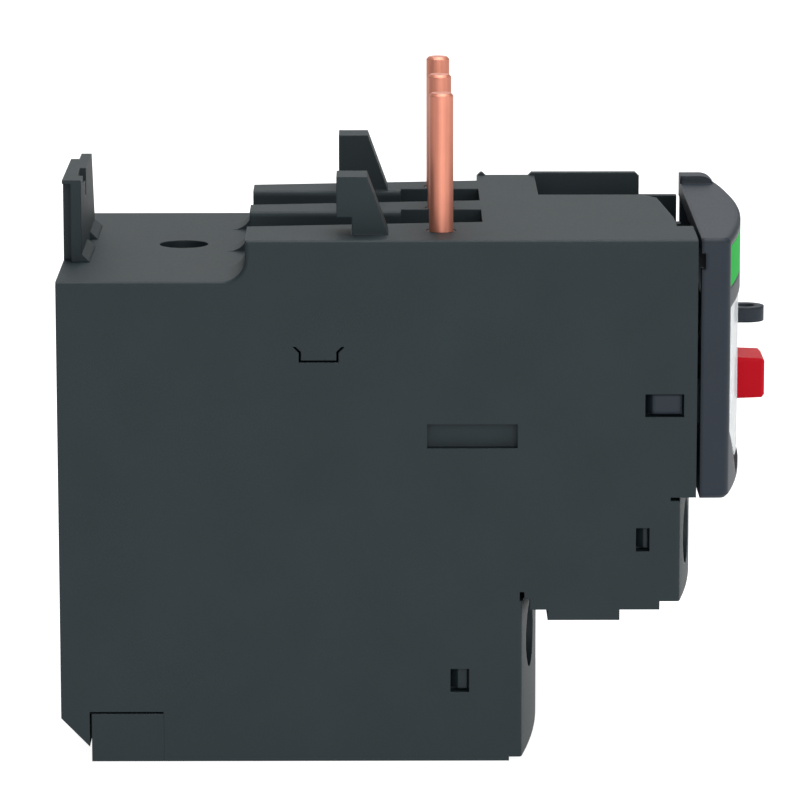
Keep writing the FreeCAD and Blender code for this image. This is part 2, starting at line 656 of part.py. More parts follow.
def heater(x):
    in_x = STRIP_THICKNESS / 2 + WINDING_GAP
    out_x = in_x + WIRE
    back_in = STRIP_D - STRIP_WIDTH / 2 - WINDING_GAP
    front_in = STRIP_D + STRIP_WIDTH / 2 + WINDING_GAP
    back_out = back_in - WIRE
    front_out = front_in + WIRE
    bars = []
    for turn in range(WINDING_TURNS):
        z = WINDING_BOTTOM_Z + turn * WINDING_PITCH
        bars.append(box(x - out_x, x - in_x, back_out, front_out, z, z + WIRE))
        bars.append(box(x - out_x, x + out_x, front_in, front_out, z, z + WIRE))
        rise = z + WINDING_PITCH
        climb = [(front_out, z), (front_out, z + WIRE), (back_out, rise + WIRE), (back_out, rise)]
        bars.append(side_prism(climb, x + in_x, x + out_x))
        bars.append(box(x - out_x, x + out_x, back_out, back_in, rise, rise + WIRE))
    end_z = WINDING_BOTTOM_Z + WINDING_TURNS * WINDING_PITCH
    bars.append(box(x - out_x, x - in_x, back_out, front_out, end_z, end_z + WIRE))
    bars.append(box(x - out_x, x - in_x, front_in, front_out, end_z, heater_lead_top()))
    bars.append(box(x - out_x, x - in_x, front_in, front_out, STRIP_ROOT_Z + WIRE, WINDING_BOTTOM_Z + WIRE))
    return fused(bars)


def load_bar(x):
    front = LOAD_BAR_D
    back = front - LOAD_BAR_THICKNESS
    drop = LOAD_BAR_DROP_D
    drop_front = drop + LOAD_BAR_THICKNESS
    top = POWER_BLOCK_TOP_Z + LOAD_BAR_THICKNESS
    foot_back = STRIP_D - STRIP_WIDTH / 2
    foot_top = LOAD_FOOT_Z + LOAD_BAR_THICKNESS
    outline = [
        (back, LOAD_BAR_TIP_Z), (front, LOAD_BAR_TIP_Z), (front, top), (drop, top), (drop, foot_top),
        (foot_back, foot_top), (foot_back, LOAD_FOOT_Z), (drop_front, LOAD_FOOT_Z),
        (drop_front, POWER_BLOCK_TOP_Z), (back, POWER_BLOCK_TOP_Z),
    ]
    bar = side_prism(outline, x - LOAD_BAR_WIDTH / 2, x + LOAD_BAR_WIDTH / 2)

    def outer_bend(edge):
        _, d, z = middle(edge)
        along_x = edge.BoundBox.XLength > LOAD_BAR_WIDTH / 2
        return along_x and abs(z - top) < 0.01

    return round_edges(bar, LOAD_BAR_THICKNESS / 2, outer_bend)


# Screw clamps
def clamp_screw(x, z, head_radius, head_depth, shank_radius, tip_d, head_back_d):
    head = rod_d(x, z, head_radius, head_back_d, head_back_d + head_depth)
    shank = rod_d(x, z, shank_radius, tip_d, head_back_d)
    slot = head_depth * 0.6
    reach = head_radius * 0.62
    half = head_radius * 0.13
    face = head_back_d + head_depth
    cross = [box(x - reach, x + reach, face - slot, face + 1, z - half, z + half),
             box(x - half, x + half, face - slot, face + 1, z - reach, z + reach)]
    return cut(head.fuse(shank), cross)


def clamp_cage(x, z, width_in, wall, back_d, rear, gap_to_front, front, height, hole_radius):
    inner_back = back_d + rear
    inner_front = inner_back + gap_to_front
    outer_front = inner_front + front
    low = z - height / 2
    high = z + height / 2
    frame = box(x - width_in - wall, x + width_in + wall, back_d, outer_front, low, high)
    hollow = box(x - width_in, x + width_in, inner_back, inner_front, low - 1, high + 1)
    hole = rod_d(x, z, hole_radius, inner_front - 0.5, outer_front + 0.5)
    return cut(frame, [hollow, hole])


def power_cage_numbers():
    bar_back = LOAD_BAR_D - LOAD_BAR_THICKNESS
    inner_back = bar_back - POWER_WIRE_GAP
    inner_front = LOAD_BAR_D + CAGE_GAP + 0.2
    return inner_back, inner_front


def power_cage(x):
    inner_back, inner_front = power_cage_numbers()
    width_in = LOAD_BAR_WIDTH / 2 + CAGE_GAP
    return clamp_cage(x, POWER_SCREW_Z, width_in, POWER_CAGE_WALL, inner_back - POWER_CAGE_REAR,
                      POWER_CAGE_REAR, inner_front - inner_back, POWER_CAGE_FRONT, POWER_CAGE_HEIGHT,
                      POWER_SHANK_RADIUS + CLEARANCE)


def power_head_d():
    return power_cage_numbers()[1] + POWER_CAGE_FRONT + POWER_TRAVEL + CAGE_GAP


def power_screw(x):
    return clamp_screw(x, POWER_SCREW_Z, POWER_HEAD_RADIUS, POWER_HEAD_DEPTH, POWER_SHANK_RADIUS,
                       LOAD_BAR_D + CLEARANCE, power_head_d())


def control_cage_numbers():
    bar_back = CONTROL_BAR_D - CONTROL_BAR_THICKNESS
    inner_back = bar_back - CONTROL_WIRE_GAP
    inner_front = CONTROL_BAR_D + CAGE_GAP
    return inner_back, inner_front


def control_cage(x):
    inner_back, inner_front = control_cage_numbers()
    width_in = CONTROL_BAR_WIDTH / 2 + CAGE_GAP
    return clamp_cage(x, CONTROL_SCREW_Z, width_in, CONTROL_CAGE_WALL, inner_back - CONTROL_CAGE_REAR,
                      CONTROL_CAGE_REAR, inner_front - inner_back, CONTROL_CAGE_FRONT,
                      CONTROL_CAGE_HEIGHT, CONTROL_SHANK_RADIUS + CLEARANCE)


def control_head_d():
    return control_cage_numbers()[1] + CONTROL_CAGE_FRONT + CONTROL_TRAVEL + CAGE_GAP


def control_screw(x):
    return clamp_screw(x, CONTROL_SCREW_Z, CONTROL_HEAD_RADIUS, CONTROL_HEAD_DEPTH, CONTROL_SHANK_RADIUS,
                       CONTROL_BAR_D + CLEARANCE, control_head_d())


# Terminal blocks
def latch_ear(window, side):
    back, front, low, high = window
    wall = side * BLOCK_HALF
    root = wall - side * WALL
    face = side * (BLOCK_HALF + EAR_OUT)
    start = back + CLEARANCE
    stop = front - LATCH_FRONT_GAP
    outline = [(root, start), (wall, start), (face, start + EAR_RAMP), (face, stop), (root, stop)]
    return plan_prism(outline, low + LATCH_LOW_GAP, high - CLEARANCE)


def power_block():
    front_block = bulged(POWER_CROWN_D, FLAT_BOTTOM_END_D, BLOCK_HALF, POWER_BOTTOM_Z, POWER_TOP_Z - SEAM,
                         BLOCK_RADIUS)
    rear_block = box(-BLOCK_HALF, BLOCK_HALF, POWER_BACK_D, FLAT_BOTTOM_END_D, 0, POWER_BLOCK_TOP_Z)
    ears = both_sides(lambda side: latch_ear(POWER_WINDOW, side))
    block = fused([front_block, rear_block] + ears)
    inner_back, _ = power_cage_numbers()
    cage_half = LOAD_BAR_WIDTH / 2 + CAGE_GAP + POWER_CAGE_WALL
    chamber_back = inner_back - POWER_CAGE_REAR - CAGE_GAP
    chamber_front = power_head_d() - CLEARANCE
    ceiling_z = POWER_BLOCK_TOP_Z - POWER_CEILING
    slot_half = LOAD_BAR_WIDTH / 2 + CLEARANCE
    tools = []
    for x in POLE_X:
        tools.append(box(x - cage_half - CAGE_GAP, x + cage_half + CAGE_GAP, chamber_back, chamber_front,
                         -1, ceiling_z))
        tools.append(rod_d(x, POWER_SCREW_Z, POWER_BORE_RADIUS, chamber_front - 1, POWER_CROWN_D + 1))
        tools.append(box(x - slot_half, x + slot_half, LOAD_BAR_D - LOAD_BAR_THICKNESS - CLEARANCE,
                         LOAD_BAR_D + CLEARANCE, ceiling_z - 1, POWER_BLOCK_TOP_Z + 1))
    return cut(block, tools)


def control_block():
    rim_back, rim_front = CONTROL_RIM_D
    top = UPPER_BOTTOM_Z - SEAM
    outline = [
        (CONTROL_BACK_D, top), (CONTROL_CROWN_D, top), (CONTROL_CROWN_D, CONTROL_BOTTOM_Z),
        (CONTROL_STEP_D, CONTROL_BOTTOM_Z), (CONTROL_STEP_D, CONTROL_STEP_Z), (rim_front, CONTROL_STEP_Z),
        (rim_front, CONTROL_RIM_Z), (rim_back, CONTROL_RIM_Z), (rim_back, POWER_TOP_Z),
        (CONTROL_BACK_D, POWER_TOP_Z),
    ]
    solid = side_prism(outline, -BLOCK_HALF, BLOCK_HALF)
    solid = solid.common(bulged(CONTROL_CROWN_D, CONTROL_BACK_D, BLOCK_HALF, 0, top, BLOCK_RADIUS))
    ears = both_sides(lambda side: latch_ear(CONTROL_WINDOW, side))
    block = fused([solid] + ears)
    inner_back, _ = control_cage_numbers()
    cage_half = CONTROL_BAR_WIDTH / 2 + CAGE_GAP + CONTROL_CAGE_WALL
    chamber_back = inner_back - CONTROL_CAGE_REAR - CAGE_GAP
    chamber_front = control_head_d() - CLEARANCE
    ceiling_z = top - CONTROL_CEILING
    slot_half = CONTROL_BAR_WIDTH / 2 + CLEARANCE
    tools = []
    for x in CONTROL_X:
        tools.append(box(x - cage_half - CAGE_GAP, x + cage_half + CAGE_GAP, chamber_back, chamber_front,
                         0, ceiling_z))
        tools.append(rod_d(x, CONTROL_SCREW_Z, CONTROL_BORE_RADIUS, chamber_front - 1, CONTROL_CROWN_D + 1))
        tools.append(box(x - slot_half, x + slot_half, CONTROL_BAR_D - CONTROL_BAR_THICKNESS - CLEARANCE,
                         CONTROL_BAR_D + CLEARANCE, ceiling_z - 1, top + 1))
    return cut(block, tools)


# Control terminal bars with their fixed contacts
def control_bar(terminal_x, contact_x, rear):
    low, high = CONTACT_Z
    bar_back = CONTROL_BAR_D - CONTROL_BAR_THICKNESS
    half_width = CONTROL_BAR_WIDTH / 2
    neck = half_width / 2
    half_lead = CONTACT_LEAD / 2
    left = min(terminal_x, contact_x)
    right = max(terminal_x, contact_x)
    pieces = [
        box(terminal_x - half_width, terminal_x + half_width, bar_back, CONTROL_BAR_D, CONTROL_BAR_TIP_Z,
            UPPER_BOTTOM_Z - SEAM),
        box(terminal_x - neck, terminal_x + neck, bar_back, CONTROL_BAR_D, CONTROL_BAR_TIP_Z, high),
    ]
    if rear:
        rear_end = REAR_LEAD_D + CONTACT_LEAD
        pieces.append(box(terminal_x - half_lead, terminal_x + half_lead, REAR_LEAD_D, CONTROL_BAR_D,
                          low, high))
        pieces.append(box(left - half_lead, right + half_lead, REAR_LEAD_D, rear_end, low, high))
        pieces.append(box(contact_x - half_lead, contact_x + half_lead, REAR_LEAD_D, rear_end + 2.0,
                          low, high))
    else:
        pieces.append(box(left - half_lead, right + half_lead, bar_back, CONTROL_BAR_D, low, high))
        pieces.append(box(contact_x - half_lead, contact_x + half_lead, bar_back - 2.0, CONTROL_BAR_D,
                          low, high))
    return fused(pieces)


# Contact carrier with its two bridges
def carrier_slot():
    half_x = TRIP_FINGER_RADIUS + CAM_RISE / 2 + 0.25
    half_d = TRIP_FINGER_RADIUS + 0.35
    carrier_low, carrier_high = CARRIER_Z
    return box(TRIP_PIVOT_X - half_x, TRIP_PIVOT_X + half_x, TRIP_FINGER_D - half_d, TRIP_FINGER_D + half_d,
               carrier_low - 1, carrier_high + 1)


def bridge_faces():
    closed_face = NORMALLY_CLOSED_X - CONTACT_LEAD / 2 - CLEARANCE
    open_face = NORMALLY_OPEN_X + CONTACT_LEAD / 2 + OPEN_GAP
    return closed_face - BRIDGE_THICKNESS, open_face


def contact_bridges():
    closed_x, open_x = bridge_faces()
    back, front = BRIDGE_D
    low, high = CONTACT_Z
    plates = [box(x, x + BRIDGE_THICKNESS, back, front, low, high) for x in (closed_x, open_x)]
    return Part.makeCompound(plates)


def contact_carrier():
    left, right = CARRIER_X
    back, front = CARRIER_D
    low, high = CARRIER_Z
    closed_x, open_x = bridge_faces()
    bridge_back, bridge_front = BRIDGE_D
    contact_low, contact_high = CONTACT_Z
    leg_side = [(bridge_back, contact_low), (bridge_front - CARRIER_LEG, contact_low),
                (bridge_front - CARRIER_LEG, contact_high), (front, contact_high), (front, high),
                (bridge_back, high)]
    closed_leg = side_prism(leg_side, closed_x - CARRIER_LEG, closed_x)
    open_back_x = open_x + BRIDGE_THICKNESS
    open_leg = side_prism(leg_side, open_back_x, open_back_x + CARRIER_LEG)
    bar = box(left, right, back, front, low, high)
    return fused([bar, closed_leg, open_leg]).cut(carrier_slot())


def trip_flag():
    left, right = FLAG_X
    back, front = FLAG_D
    low, high = CARRIER_Z
    arm = box(left, right, back, front, low, high)
    face = box(left - 0.8, right + 0.8, front - 0.8, front, low - 0.5, high + 0.7)
    return arm.fuse(face).removeSplitter()


# Slide bars and differential lever
def slide_bar(z):
    left, right = SLIDE_X
    back = STRIP_D - SLIDE_WIDTH / 2
    front = STRIP_D + SLIDE_WIDTH / 2
    bar = box(left, right, back, front, z, z + SLIDE_THICKNESS)
    half_x = STRIP_THICKNESS / 2 + STRIP_SLOT_GAP
    half_d = STRIP_WIDTH / 2 + STRIP_SLOT_GAP
    tools = [box(x - half_x, x + half_x, STRIP_D - half_d, STRIP_D + half_d, z - 1, z + SLIDE_THICKNESS + 1)
             for x in POLE_X]
    pin_z = z + SLIDE_THICKNESS / 2
    tools.append(rod_d(DIFFERENTIAL_X + 0.6, pin_z, LINK_PIN_RADIUS + CLEARANCE,
                       front - LINK_PIN_LENGTH, front + 1))
    return cut(bar, tools)


def differential_lever():
    half = DIFFERENTIAL_WIDTH / 2
    x = DIFFERENTIAL_X
    pin_x = x + 0.6
    back = DIFFERENTIAL_D + CLEARANCE
    front = back + DIFFERENTIAL_THICKNESS
    low = LOWER_SLIDE_Z
    blade = box(x - half, x + half, back, front, low, DIFFERENTIAL_TOP_Z)
    hub_low = rod_d(pin_x, LOWER_SLIDE_Z + SLIDE_THICKNESS / 2, LINK_PIN_RADIUS * 2, back, front)
    hub_high = rod_d(pin_x, UPPER_SLIDE_Z + SLIDE_THICKNESS / 2, LINK_PIN_RADIUS * 2, back, front)
    pins = [rod_d(pin_x, z + SLIDE_THICKNESS / 2, LINK_PIN_RADIUS, back - LINK_PIN_LENGTH + 0.3, back)
            for z in (LOWER_SLIDE_Z, UPPER_SLIDE_Z)]
    return fused([blade, hub_low, hub_high] + pins)


# Setting train
def cam_outline():
    points = []
    for index in range(CAM_POINTS):
        share = index / (CAM_POINTS - 1)
        angle = math.radians(CAM_TURN * (share - 0.5))
        radius = CAM_RADIUS + CAM_RISE * (0.5 - share)
        across = DIAL_X + radius * math.cos(angle)
        points.append(V(across, BACK_Y - CAM_D[1], DIAL_Z + radius * math.sin(angle)))
    return points


def setting_cam():
    points = cam_outline()
    spiral = Part.BSplineCurve()
    spiral.interpolate(points)
    closing = Part.makeLine(points[-1], points[0])
    face = Part.Face(Part.Wire([spiral.toShape(), closing]))
    cam = face.extrude(V(0, CAM_D[1] - CAM_D[0], 0))
    return cam.cut(rod_d(DIAL_X, DIAL_Z, DIAL_SHAFT_RADIUS + CLEARANCE, CAM_D[0] - 1, CAM_D[1] + 1))


def setting_dial():
    head = rod_d(DIAL_X, DIAL_Z, DIAL_RADIUS, DIAL_BACK_D, DIAL_FACE_D)

    def rim(edge):
        return edge.isClosed() and abs(middle(edge)[1] - DIAL_FACE_D) < 0.01

    head = head.makeChamfer(HEAD_CHAMFER, [edge for edge in head.Edges if rim(edge)])
    shaft = rod_d(DIAL_X, DIAL_Z, DIAL_SHAFT_RADIUS, CAM_D[0] - SEAM, DIAL_BACK_D)
    slot = box(DIAL_X - DIAL_RADIUS * 0.62, DIAL_X + DIAL_RADIUS * 0.62, DIAL_FACE_D - 0.9, DIAL_FACE_D + 1,
               DIAL_Z - DIAL_SLOT / 2, DIAL_Z + DIAL_SLOT / 2)
    pointer = plan_arrow(DIAL_RADIUS * 0.92)
    return cut(fused([head, shaft]), [slot, pointer])


def plan_arrow(reach):
    half = DIAL_SLOT
    return front_prism([(DIAL_X + reach, DIAL_Z), (DIAL_X + reach * 0.62, DIAL_Z + half),
                        (DIAL_X + reach * 0.62, DIAL_Z - half)], DIAL_FACE_D - 0.9, DIAL_FACE_D + 1)


def setting_slide():
    low, high = SETTING_SLIDE_Z
    back, front = SETTING_SLIDE_D
    face_x = DIAL_X + CAM_RADIUS + CAM_FOLLOWER_GAP
    cam_back, cam_front = CAM_D
    pad = box(face_x, face_x + 1.4, cam_back, cam_front, DIAL_Z - 1.2, high)
    arm = box(face_x, face_x + 1.4, back, cam_front, low - 0.4, high)
    bar = box(face_x, TRIP_PIVOT_X + 2, back, front, low, high)
    seat = box(TRIP_PIVOT_X - 2, TRIP_PIVOT_X + 2, TRIP_PIVOT_D - 2, front, low, high)
    post = rod_z(TRIP_PIVOT_X, TRIP_PIVOT_D, TRIP_PIVOT_RADIUS, high - 0.5, TRIP_LEVER_Z[1] + 0.6)
    return fused([pad, arm, bar, seat, post])


def trip_lever():
    low, high = TRIP_LEVER_Z
    hub = rod_z(TRIP_PIVOT_X, TRIP_PIVOT_D, TRIP_PIVOT_RADIUS + 0.9, low, high)
    arm = box(TRIP_PIVOT_X - 0.8, TRIP_PIVOT_X + 0.8, TRIP_PIVOT_D, TRIP_FINGER_D + TRIP_FINGER_RADIUS,
              low, high)
    finger = rod_z(TRIP_PIVOT_X, TRIP_FINGER_D, TRIP_FINGER_RADIUS, CARRIER_Z[0] + SEAM, high - SEAM)
    bore = rod_z(TRIP_PIVOT_X, TRIP_PIVOT_D, TRIP_PIVOT_RADIUS + CLEARANCE, low - 1, high + 1)
    grip = box(TRIP_PIVOT_X - 1.9, TRIP_PIVOT_X - 0.4, TRIP_PIVOT_D - 4.2, TRIP_PIVOT_D, low, high)
    blade_left, blade_right = compensator_faces()
    slot = box(blade_left, blade_right, TRIP_PIVOT_D - 2 * COMPENSATOR_GRIP,
               TRIP_PIVOT_D - COMPENSATOR_GRIP, low - 1, high + 1)
    return cut(fused([hub, arm, finger, grip]), [bore, slot])


def compensator_faces():
    left = DIFFERENTIAL_X + DIFFERENTIAL_WIDTH / 2 + STRIP_TIP_GAP
    return left, left + COMPENSATOR_THICKNESS


def compensating_strip():
    left, right = compensator_faces()
    low, high = TRIP_LEVER_Z
    back = COMPENSATOR_D - DIFFERENTIAL_THICKNESS / 2
    return box(left, right, back, TRIP_PIVOT_D - COMPENSATOR_GRIP, low + 0.2, high - 0.2)


# Mechanism frame
def mechanism_frame():
    back, front = FRAME_D
    plate_low, plate_top = FRAME_PLATE_Z
    wall_back, wall_front = FRAME_WALL_D
    carrier_back, carrier_front = CARRIER_D
    slide_back, slide_front = SETTING_SLIDE_D
    plate = box(-BLOCK_HALF, BLOCK_HALF, back, front, plate_low, plate_top)
    wall = box(-BLOCK_HALF, BLOCK_HALF, wall_back, wall_front, plate_low, FRAME_WALL_TOP_Z)
    post_back = REAR_LEAD_D + CONTACT_LEAD + CAGE_GAP
    carrier_posts = [box(x, x + POST_WIDTH, post_back, carrier_front - SEAM, plate_low, CARRIER_Z[0] - SEAM)
                     for x in CARRIER_POSTS_X]
    slide_posts = [box(x, x + POST_WIDTH, slide_back, slide_front, plate_low, SETTING_SLIDE_Z[0] - SEAM)
                   for x in SLIDE_POSTS_X]
    frame = fused([plate, wall] + carrier_posts + slide_posts)
    tools = []
    neck = CONTROL_BAR_WIDTH / 4 + CAGE_GAP
    for x in CONTROL_X:
        tools.append(box(x - neck, x + neck, CONTROL_BAR_D - CONTROL_BAR_THICKNESS - CAGE_GAP,
                         CONTROL_BAR_D + CAGE_GAP, plate_low - 1, plate_top + 1))
    tools.append(rod_d(DIAL_X, DIAL_Z, DIAL_SHAFT_RADIUS + CLEARANCE, wall_back - 1, wall_front + 1))
    for x, z in ((STOP_X, STOP_Z), (RESET_X, RESET_Z)):
        tools.append(rod_d(x, z, ROD_RADIUS + CLEARANCE, wall_back - 1, wall_front + 1))
    tools.append(rod_d(TEST_X, TEST_Z, TEST_RADIUS + CLEARANCE, wall_back - 1, wall_front + 1))
    flag_left, flag_right = FLAG_X
    tools.append(box(flag_left - OPEN_GAP - 0.4, flag_right + 0.4, wall_back - 1, wall_front + 1,
                     CARRIER_Z[0] - 0.4, CARRIER_Z[1] + 0.4))
    return cut(frame, tools)


# Front cover
def recess_outline(grow):
    half = FLAP_HALF + grow
    corner_x, corner_z = FLAP_CORNER
    top = FLAP_TOP_Z + grow
    side_z = corner_z - grow
    return [(-half, top), (half, top), (half, side_z), (corner_x + grow, RECESS_BOTTOM_Z),
            (-corner_x - grow, RECESS_BOTTOM_Z), (-half, side_z)]


def cover_latch(side):
    back, front, low, high = COVER_WINDOW
    inside = side * (INNER - LATCH_ARM)
    face = side * (INNER - CLEARANCE)
    low_z = low - LATCH_ARM
    high_z = high + LATCH_ARM
    arm = box(min(inside, face), max(inside, face), back + CLEARANCE, FLOOR_FRONT_D, low_z, high_z)
    nose = side * (HALF - LATCH_SINK)
    start = back + CLEARANCE
    stop = front - LATCH_FRONT_GAP
    outline = [(inside, start), (face, start), (nose, start + EAR_RAMP), (nose, stop), (inside, stop)]
    return arm.fuse(plan_prism(outline, low + LATCH_LOW_GAP, high - CLEARANCE))


def cover_rib():
    left, right = COVER_RIB_X
    top = COVER_TOP_Z + COVER_RIB_HEIGHT
    foot = COVER_TOP_Z - WALL
    flat_end = COVER_BACK_D + COVER_RIB_FLAT
    slab = box(left, right, COVER_BACK_D, flat_end, foot, top)
    nose = rod_x(flat_end, top - COVER_RIB_ROUND, COVER_RIB_ROUND, left, right)
    keep = box(left, right, flat_end, flat_end + COVER_RIB_ROUND, foot, top)
    return slab.fuse(nose.common(keep))


def sealing_lug():
    left, right = LUG_X
    low, high = LUG_Z
    radius = (right - left) / 2
    centre_d = LUG_FRONT_D - radius
    bar = box(left, right, COVER_BACK_D + CLEARANCE, centre_d, low, high)
    end = rod_z(left + radius, centre_d, radius, low, high)
    return bar.fuse(end).cut(rod_z(left + radius, centre_d, LUG_HOLE_RADIUS, low - 1, high + 1))


def front_cover():
    body = bulged(COVER_CROWN_D, COVER_BACK_D, HALF, COVER_BOTTOM_Z, COVER_TOP_Z)

    def front_corner(edge):
        x, d, z = middle(edge)
        return abs(abs(x) - HALF) < 0.01 and d > COVER_BACK_D + 1 and edge.BoundBox.ZLength > 10

    body = round_edges(body, COVER_CORNER, front_corner)

    def rim_edge(edge):
        x, d, z = middle(edge)
        return edge.BoundBox.ZLength < 0.01 and d > COVER_BACK_D + 0.01

    body = body.makeChamfer(COVER_TOP_EDGE, [edge for edge in body.Edges if rim_edge(edge)])
    body = body.fuse(cover_rib())
    slot_depth, slot_low, slot_high = LATCH_SLOT
    label_low, label_high = LABEL_Z
    label_seat = bulged(COVER_CROWN_D + 1, COVER_BACK_D, LABEL_HALF + CLEARANCE, label_low - CLEARANCE,
                        label_high + CLEARANCE)
    label_back = bulged(COVER_CROWN_D - LABEL_THICKNESS, COVER_BACK_D - 1, HALF, label_low - 1,
                        label_high + 1)
    behind = COVER_BACK_D - 1
    through = FLOOR_FRONT_D + 1
    tools = [
        box(-INNER, INNER, behind, COVER_CROWN_D - WALL - COVER_HOLLOW_SKIN, FLAP_TOP_Z + WALL,
            COVER_TOP_Z - WALL),
        front_prism(recess_outline(FLAP_GAP), FLOOR_FRONT_D, COVER_CROWN_D + 1),
        box(-HALF - 1, LATCH_SLOT_REACH - HALF, behind, COVER_BACK_D + slot_depth, slot_low, slot_high),
        box(COVER_RIB_X[1], HALF + 1, behind, COVER_BACK_D + FAR_LIP, 0, COVER_TOP_Z + 1),
        label_seat.cut(label_back),
        rod_d(DIAL_X, DIAL_Z, DIAL_SHAFT_RADIUS + CLEARANCE, behind, through),
        stop_window(behind, through),
        rod_d(RESET_X, RESET_Z, RESET_RADIUS + BUTTON_GAP, behind, through),
        rod_d(TEST_X, TEST_Z, TEST_RADIUS + BUTTON_GAP, behind, through),
        flag_window(behind, through),
    ]
    for tool in tools:
        body = body.cut(tool)
    return fused([body, sealing_lug()] + both_sides(hinge_ear) + both_sides(cover_latch))


def hinge_ear(side):
    inner_x, outer_x = EAR_X
    x0 = side * inner_x if side > 0 else side * outer_x
    x1 = x0 + outer_x - inner_x
    ear = box(x0, x1, COVER_BACK_D + 0.2, HINGE_D, HINGE_Z - KNUCKLE_RADIUS, HINGE_Z + KNUCKLE_RADIUS)
    nose = rod_x(HINGE_D, HINGE_Z, KNUCKLE_RADIUS, x0, x1)
    hole = rod_x(HINGE_D, HINGE_Z, HINGE_PIN_RADIUS + CLEARANCE, x0 - 1, x1 + 1)
    return ear.fuse(nose).cut(hole)


def stop_window(d0, d1):
    half_x = STOP_SIZE[0] / 2 + BUTTON_GAP
    half_z = STOP_SIZE[1] / 2 + BUTTON_GAP
    return box(STOP_X - half_x, STOP_X + half_x, d0, d1, STOP_Z - half_z, STOP_Z + half_z)


def flag_window(d0, d1):
    left, right = FLAG_X
    return box(left - 0.6, right + 0.2, d0, d1, CARRIER_Z[0] - 0.2, CARRIER_Z[1] + 0.2)


def label_plate():
    low, high = LABEL_Z
    plate = bulged(COVER_CROWN_D, COVER_BACK_D, LABEL_HALF, low, high)
    behind = bulged(COVER_CROWN_D - LABEL_THICKNESS + CLEARANCE, COVER_BACK_D - 1, HALF, low - 1, high + 1)
    return plate.cut(behind)


def face_plate():
    flap_inner = COVER_CROWN_D - FLAP_SET_BACK - FLAP_THICKNESS
    low, high = PLATE_Z
    plate = bulged(flap_inner - PLATE_GAP, FLOOR_FRONT_D, FLAP_HALF - SEAM, low, high)
    corner_x, corner_z = FLAP_CORNER
    half = FLAP_HALF - SEAM
    outline = [(-half, high), (half, high), (half, corner_z + 0.4), (corner_x, low), (-corner_x, low),
               (-half, corner_z + 0.4)]
    plate = plate.common(front_prism(outline, FLOOR_FRONT_D - 1, COVER_CROWN_D))
    front = COVER_CROWN_D
    lug_left, lug_right = LUG_X
    lug_low, lug_high = LUG_Z
    tools = [
        rod_d(DIAL_X, DIAL_Z, DIAL_RADIUS + BUTTON_GAP, FLOOR_FRONT_D - 1, front),
        stop_window(FLOOR_FRONT_D - 1, front),
        rod_d(RESET_X, RESET_Z, SELECTOR_RADIUS + BUTTON_GAP, FLOOR_FRONT_D - 1, front),
        rod_d(TEST_X, TEST_Z, TEST_RADIUS + BUTTON_GAP, FLOOR_FRONT_D - 1, front),
        flag_window(FLOOR_FRONT_D - 1, front),
        box(lug_left - SEAM, lug_right + SEAM, FLOOR_FRONT_D - 1, front, lug_low - SEAM, lug_high + SEAM),
    ]
    return cut(plate, tools)


def clear_flap():
    crown = COVER_CROWN_D - FLAP_SET_BACK
    panel = bulged(crown, COVER_BACK_D, FLAP_HALF, HINGE_Z, FLAP_TOP_Z)
    behind = bulged(crown - FLAP_THICKNESS, COVER_BACK_D - 1, HALF, HINGE_Z - 1, FLAP_TOP_Z + 1)
    panel = panel.cut(behind)
    corner_x, corner_z = FLAP_CORNER
    outline = [(-FLAP_HALF, FLAP_TOP_Z), (FLAP_HALF, FLAP_TOP_Z), (FLAP_HALF, corner_z), (corner_x, HINGE_Z),
               (-corner_x, HINGE_Z), (-FLAP_HALF, corner_z)]
    panel = panel.common(front_prism(outline, COVER_BACK_D, COVER_CROWN_D + 1))
    ear_inner, ear_outer = EAR_X
    knuckle = rod_x(HINGE_D, HINGE_Z, KNUCKLE_RADIUS, -ear_inner + SEAM, ear_inner - SEAM)
    flap = panel.fuse(knuckle)
    left, right, low, high = FLAP_WINDOW
    lug_left, lug_right = LUG_X
    tools = [
        box(left, right, COVER_BACK_D, COVER_CROWN_D + 1, low, high),
        box(lug_left - 0.4, lug_right + 0.4, COVER_BACK_D, COVER_CROWN_D + 1, LUG_Z[0] - 0.5, FLAP_TOP_Z + 1),
    ]
    for side in (-1, 1):
        x0 = ear_inner - SEAM if side > 0 else -ear_outer - SEAM
        tools.append(box(x0, x0 + ear_outer - ear_inner + 2 * SEAM, COVER_BACK_D, COVER_CROWN_D + 1,
                         HINGE_Z - 1, HINGE_Z + KNUCKLE_RADIUS + SEAM))
    flap = cut(flap, tools)
    pin = rod_x(HINGE_D, HINGE_Z, HINGE_PIN_RADIUS, -ear_outer, ear_outer)
    return flap.fuse(pin).removeSplitter()


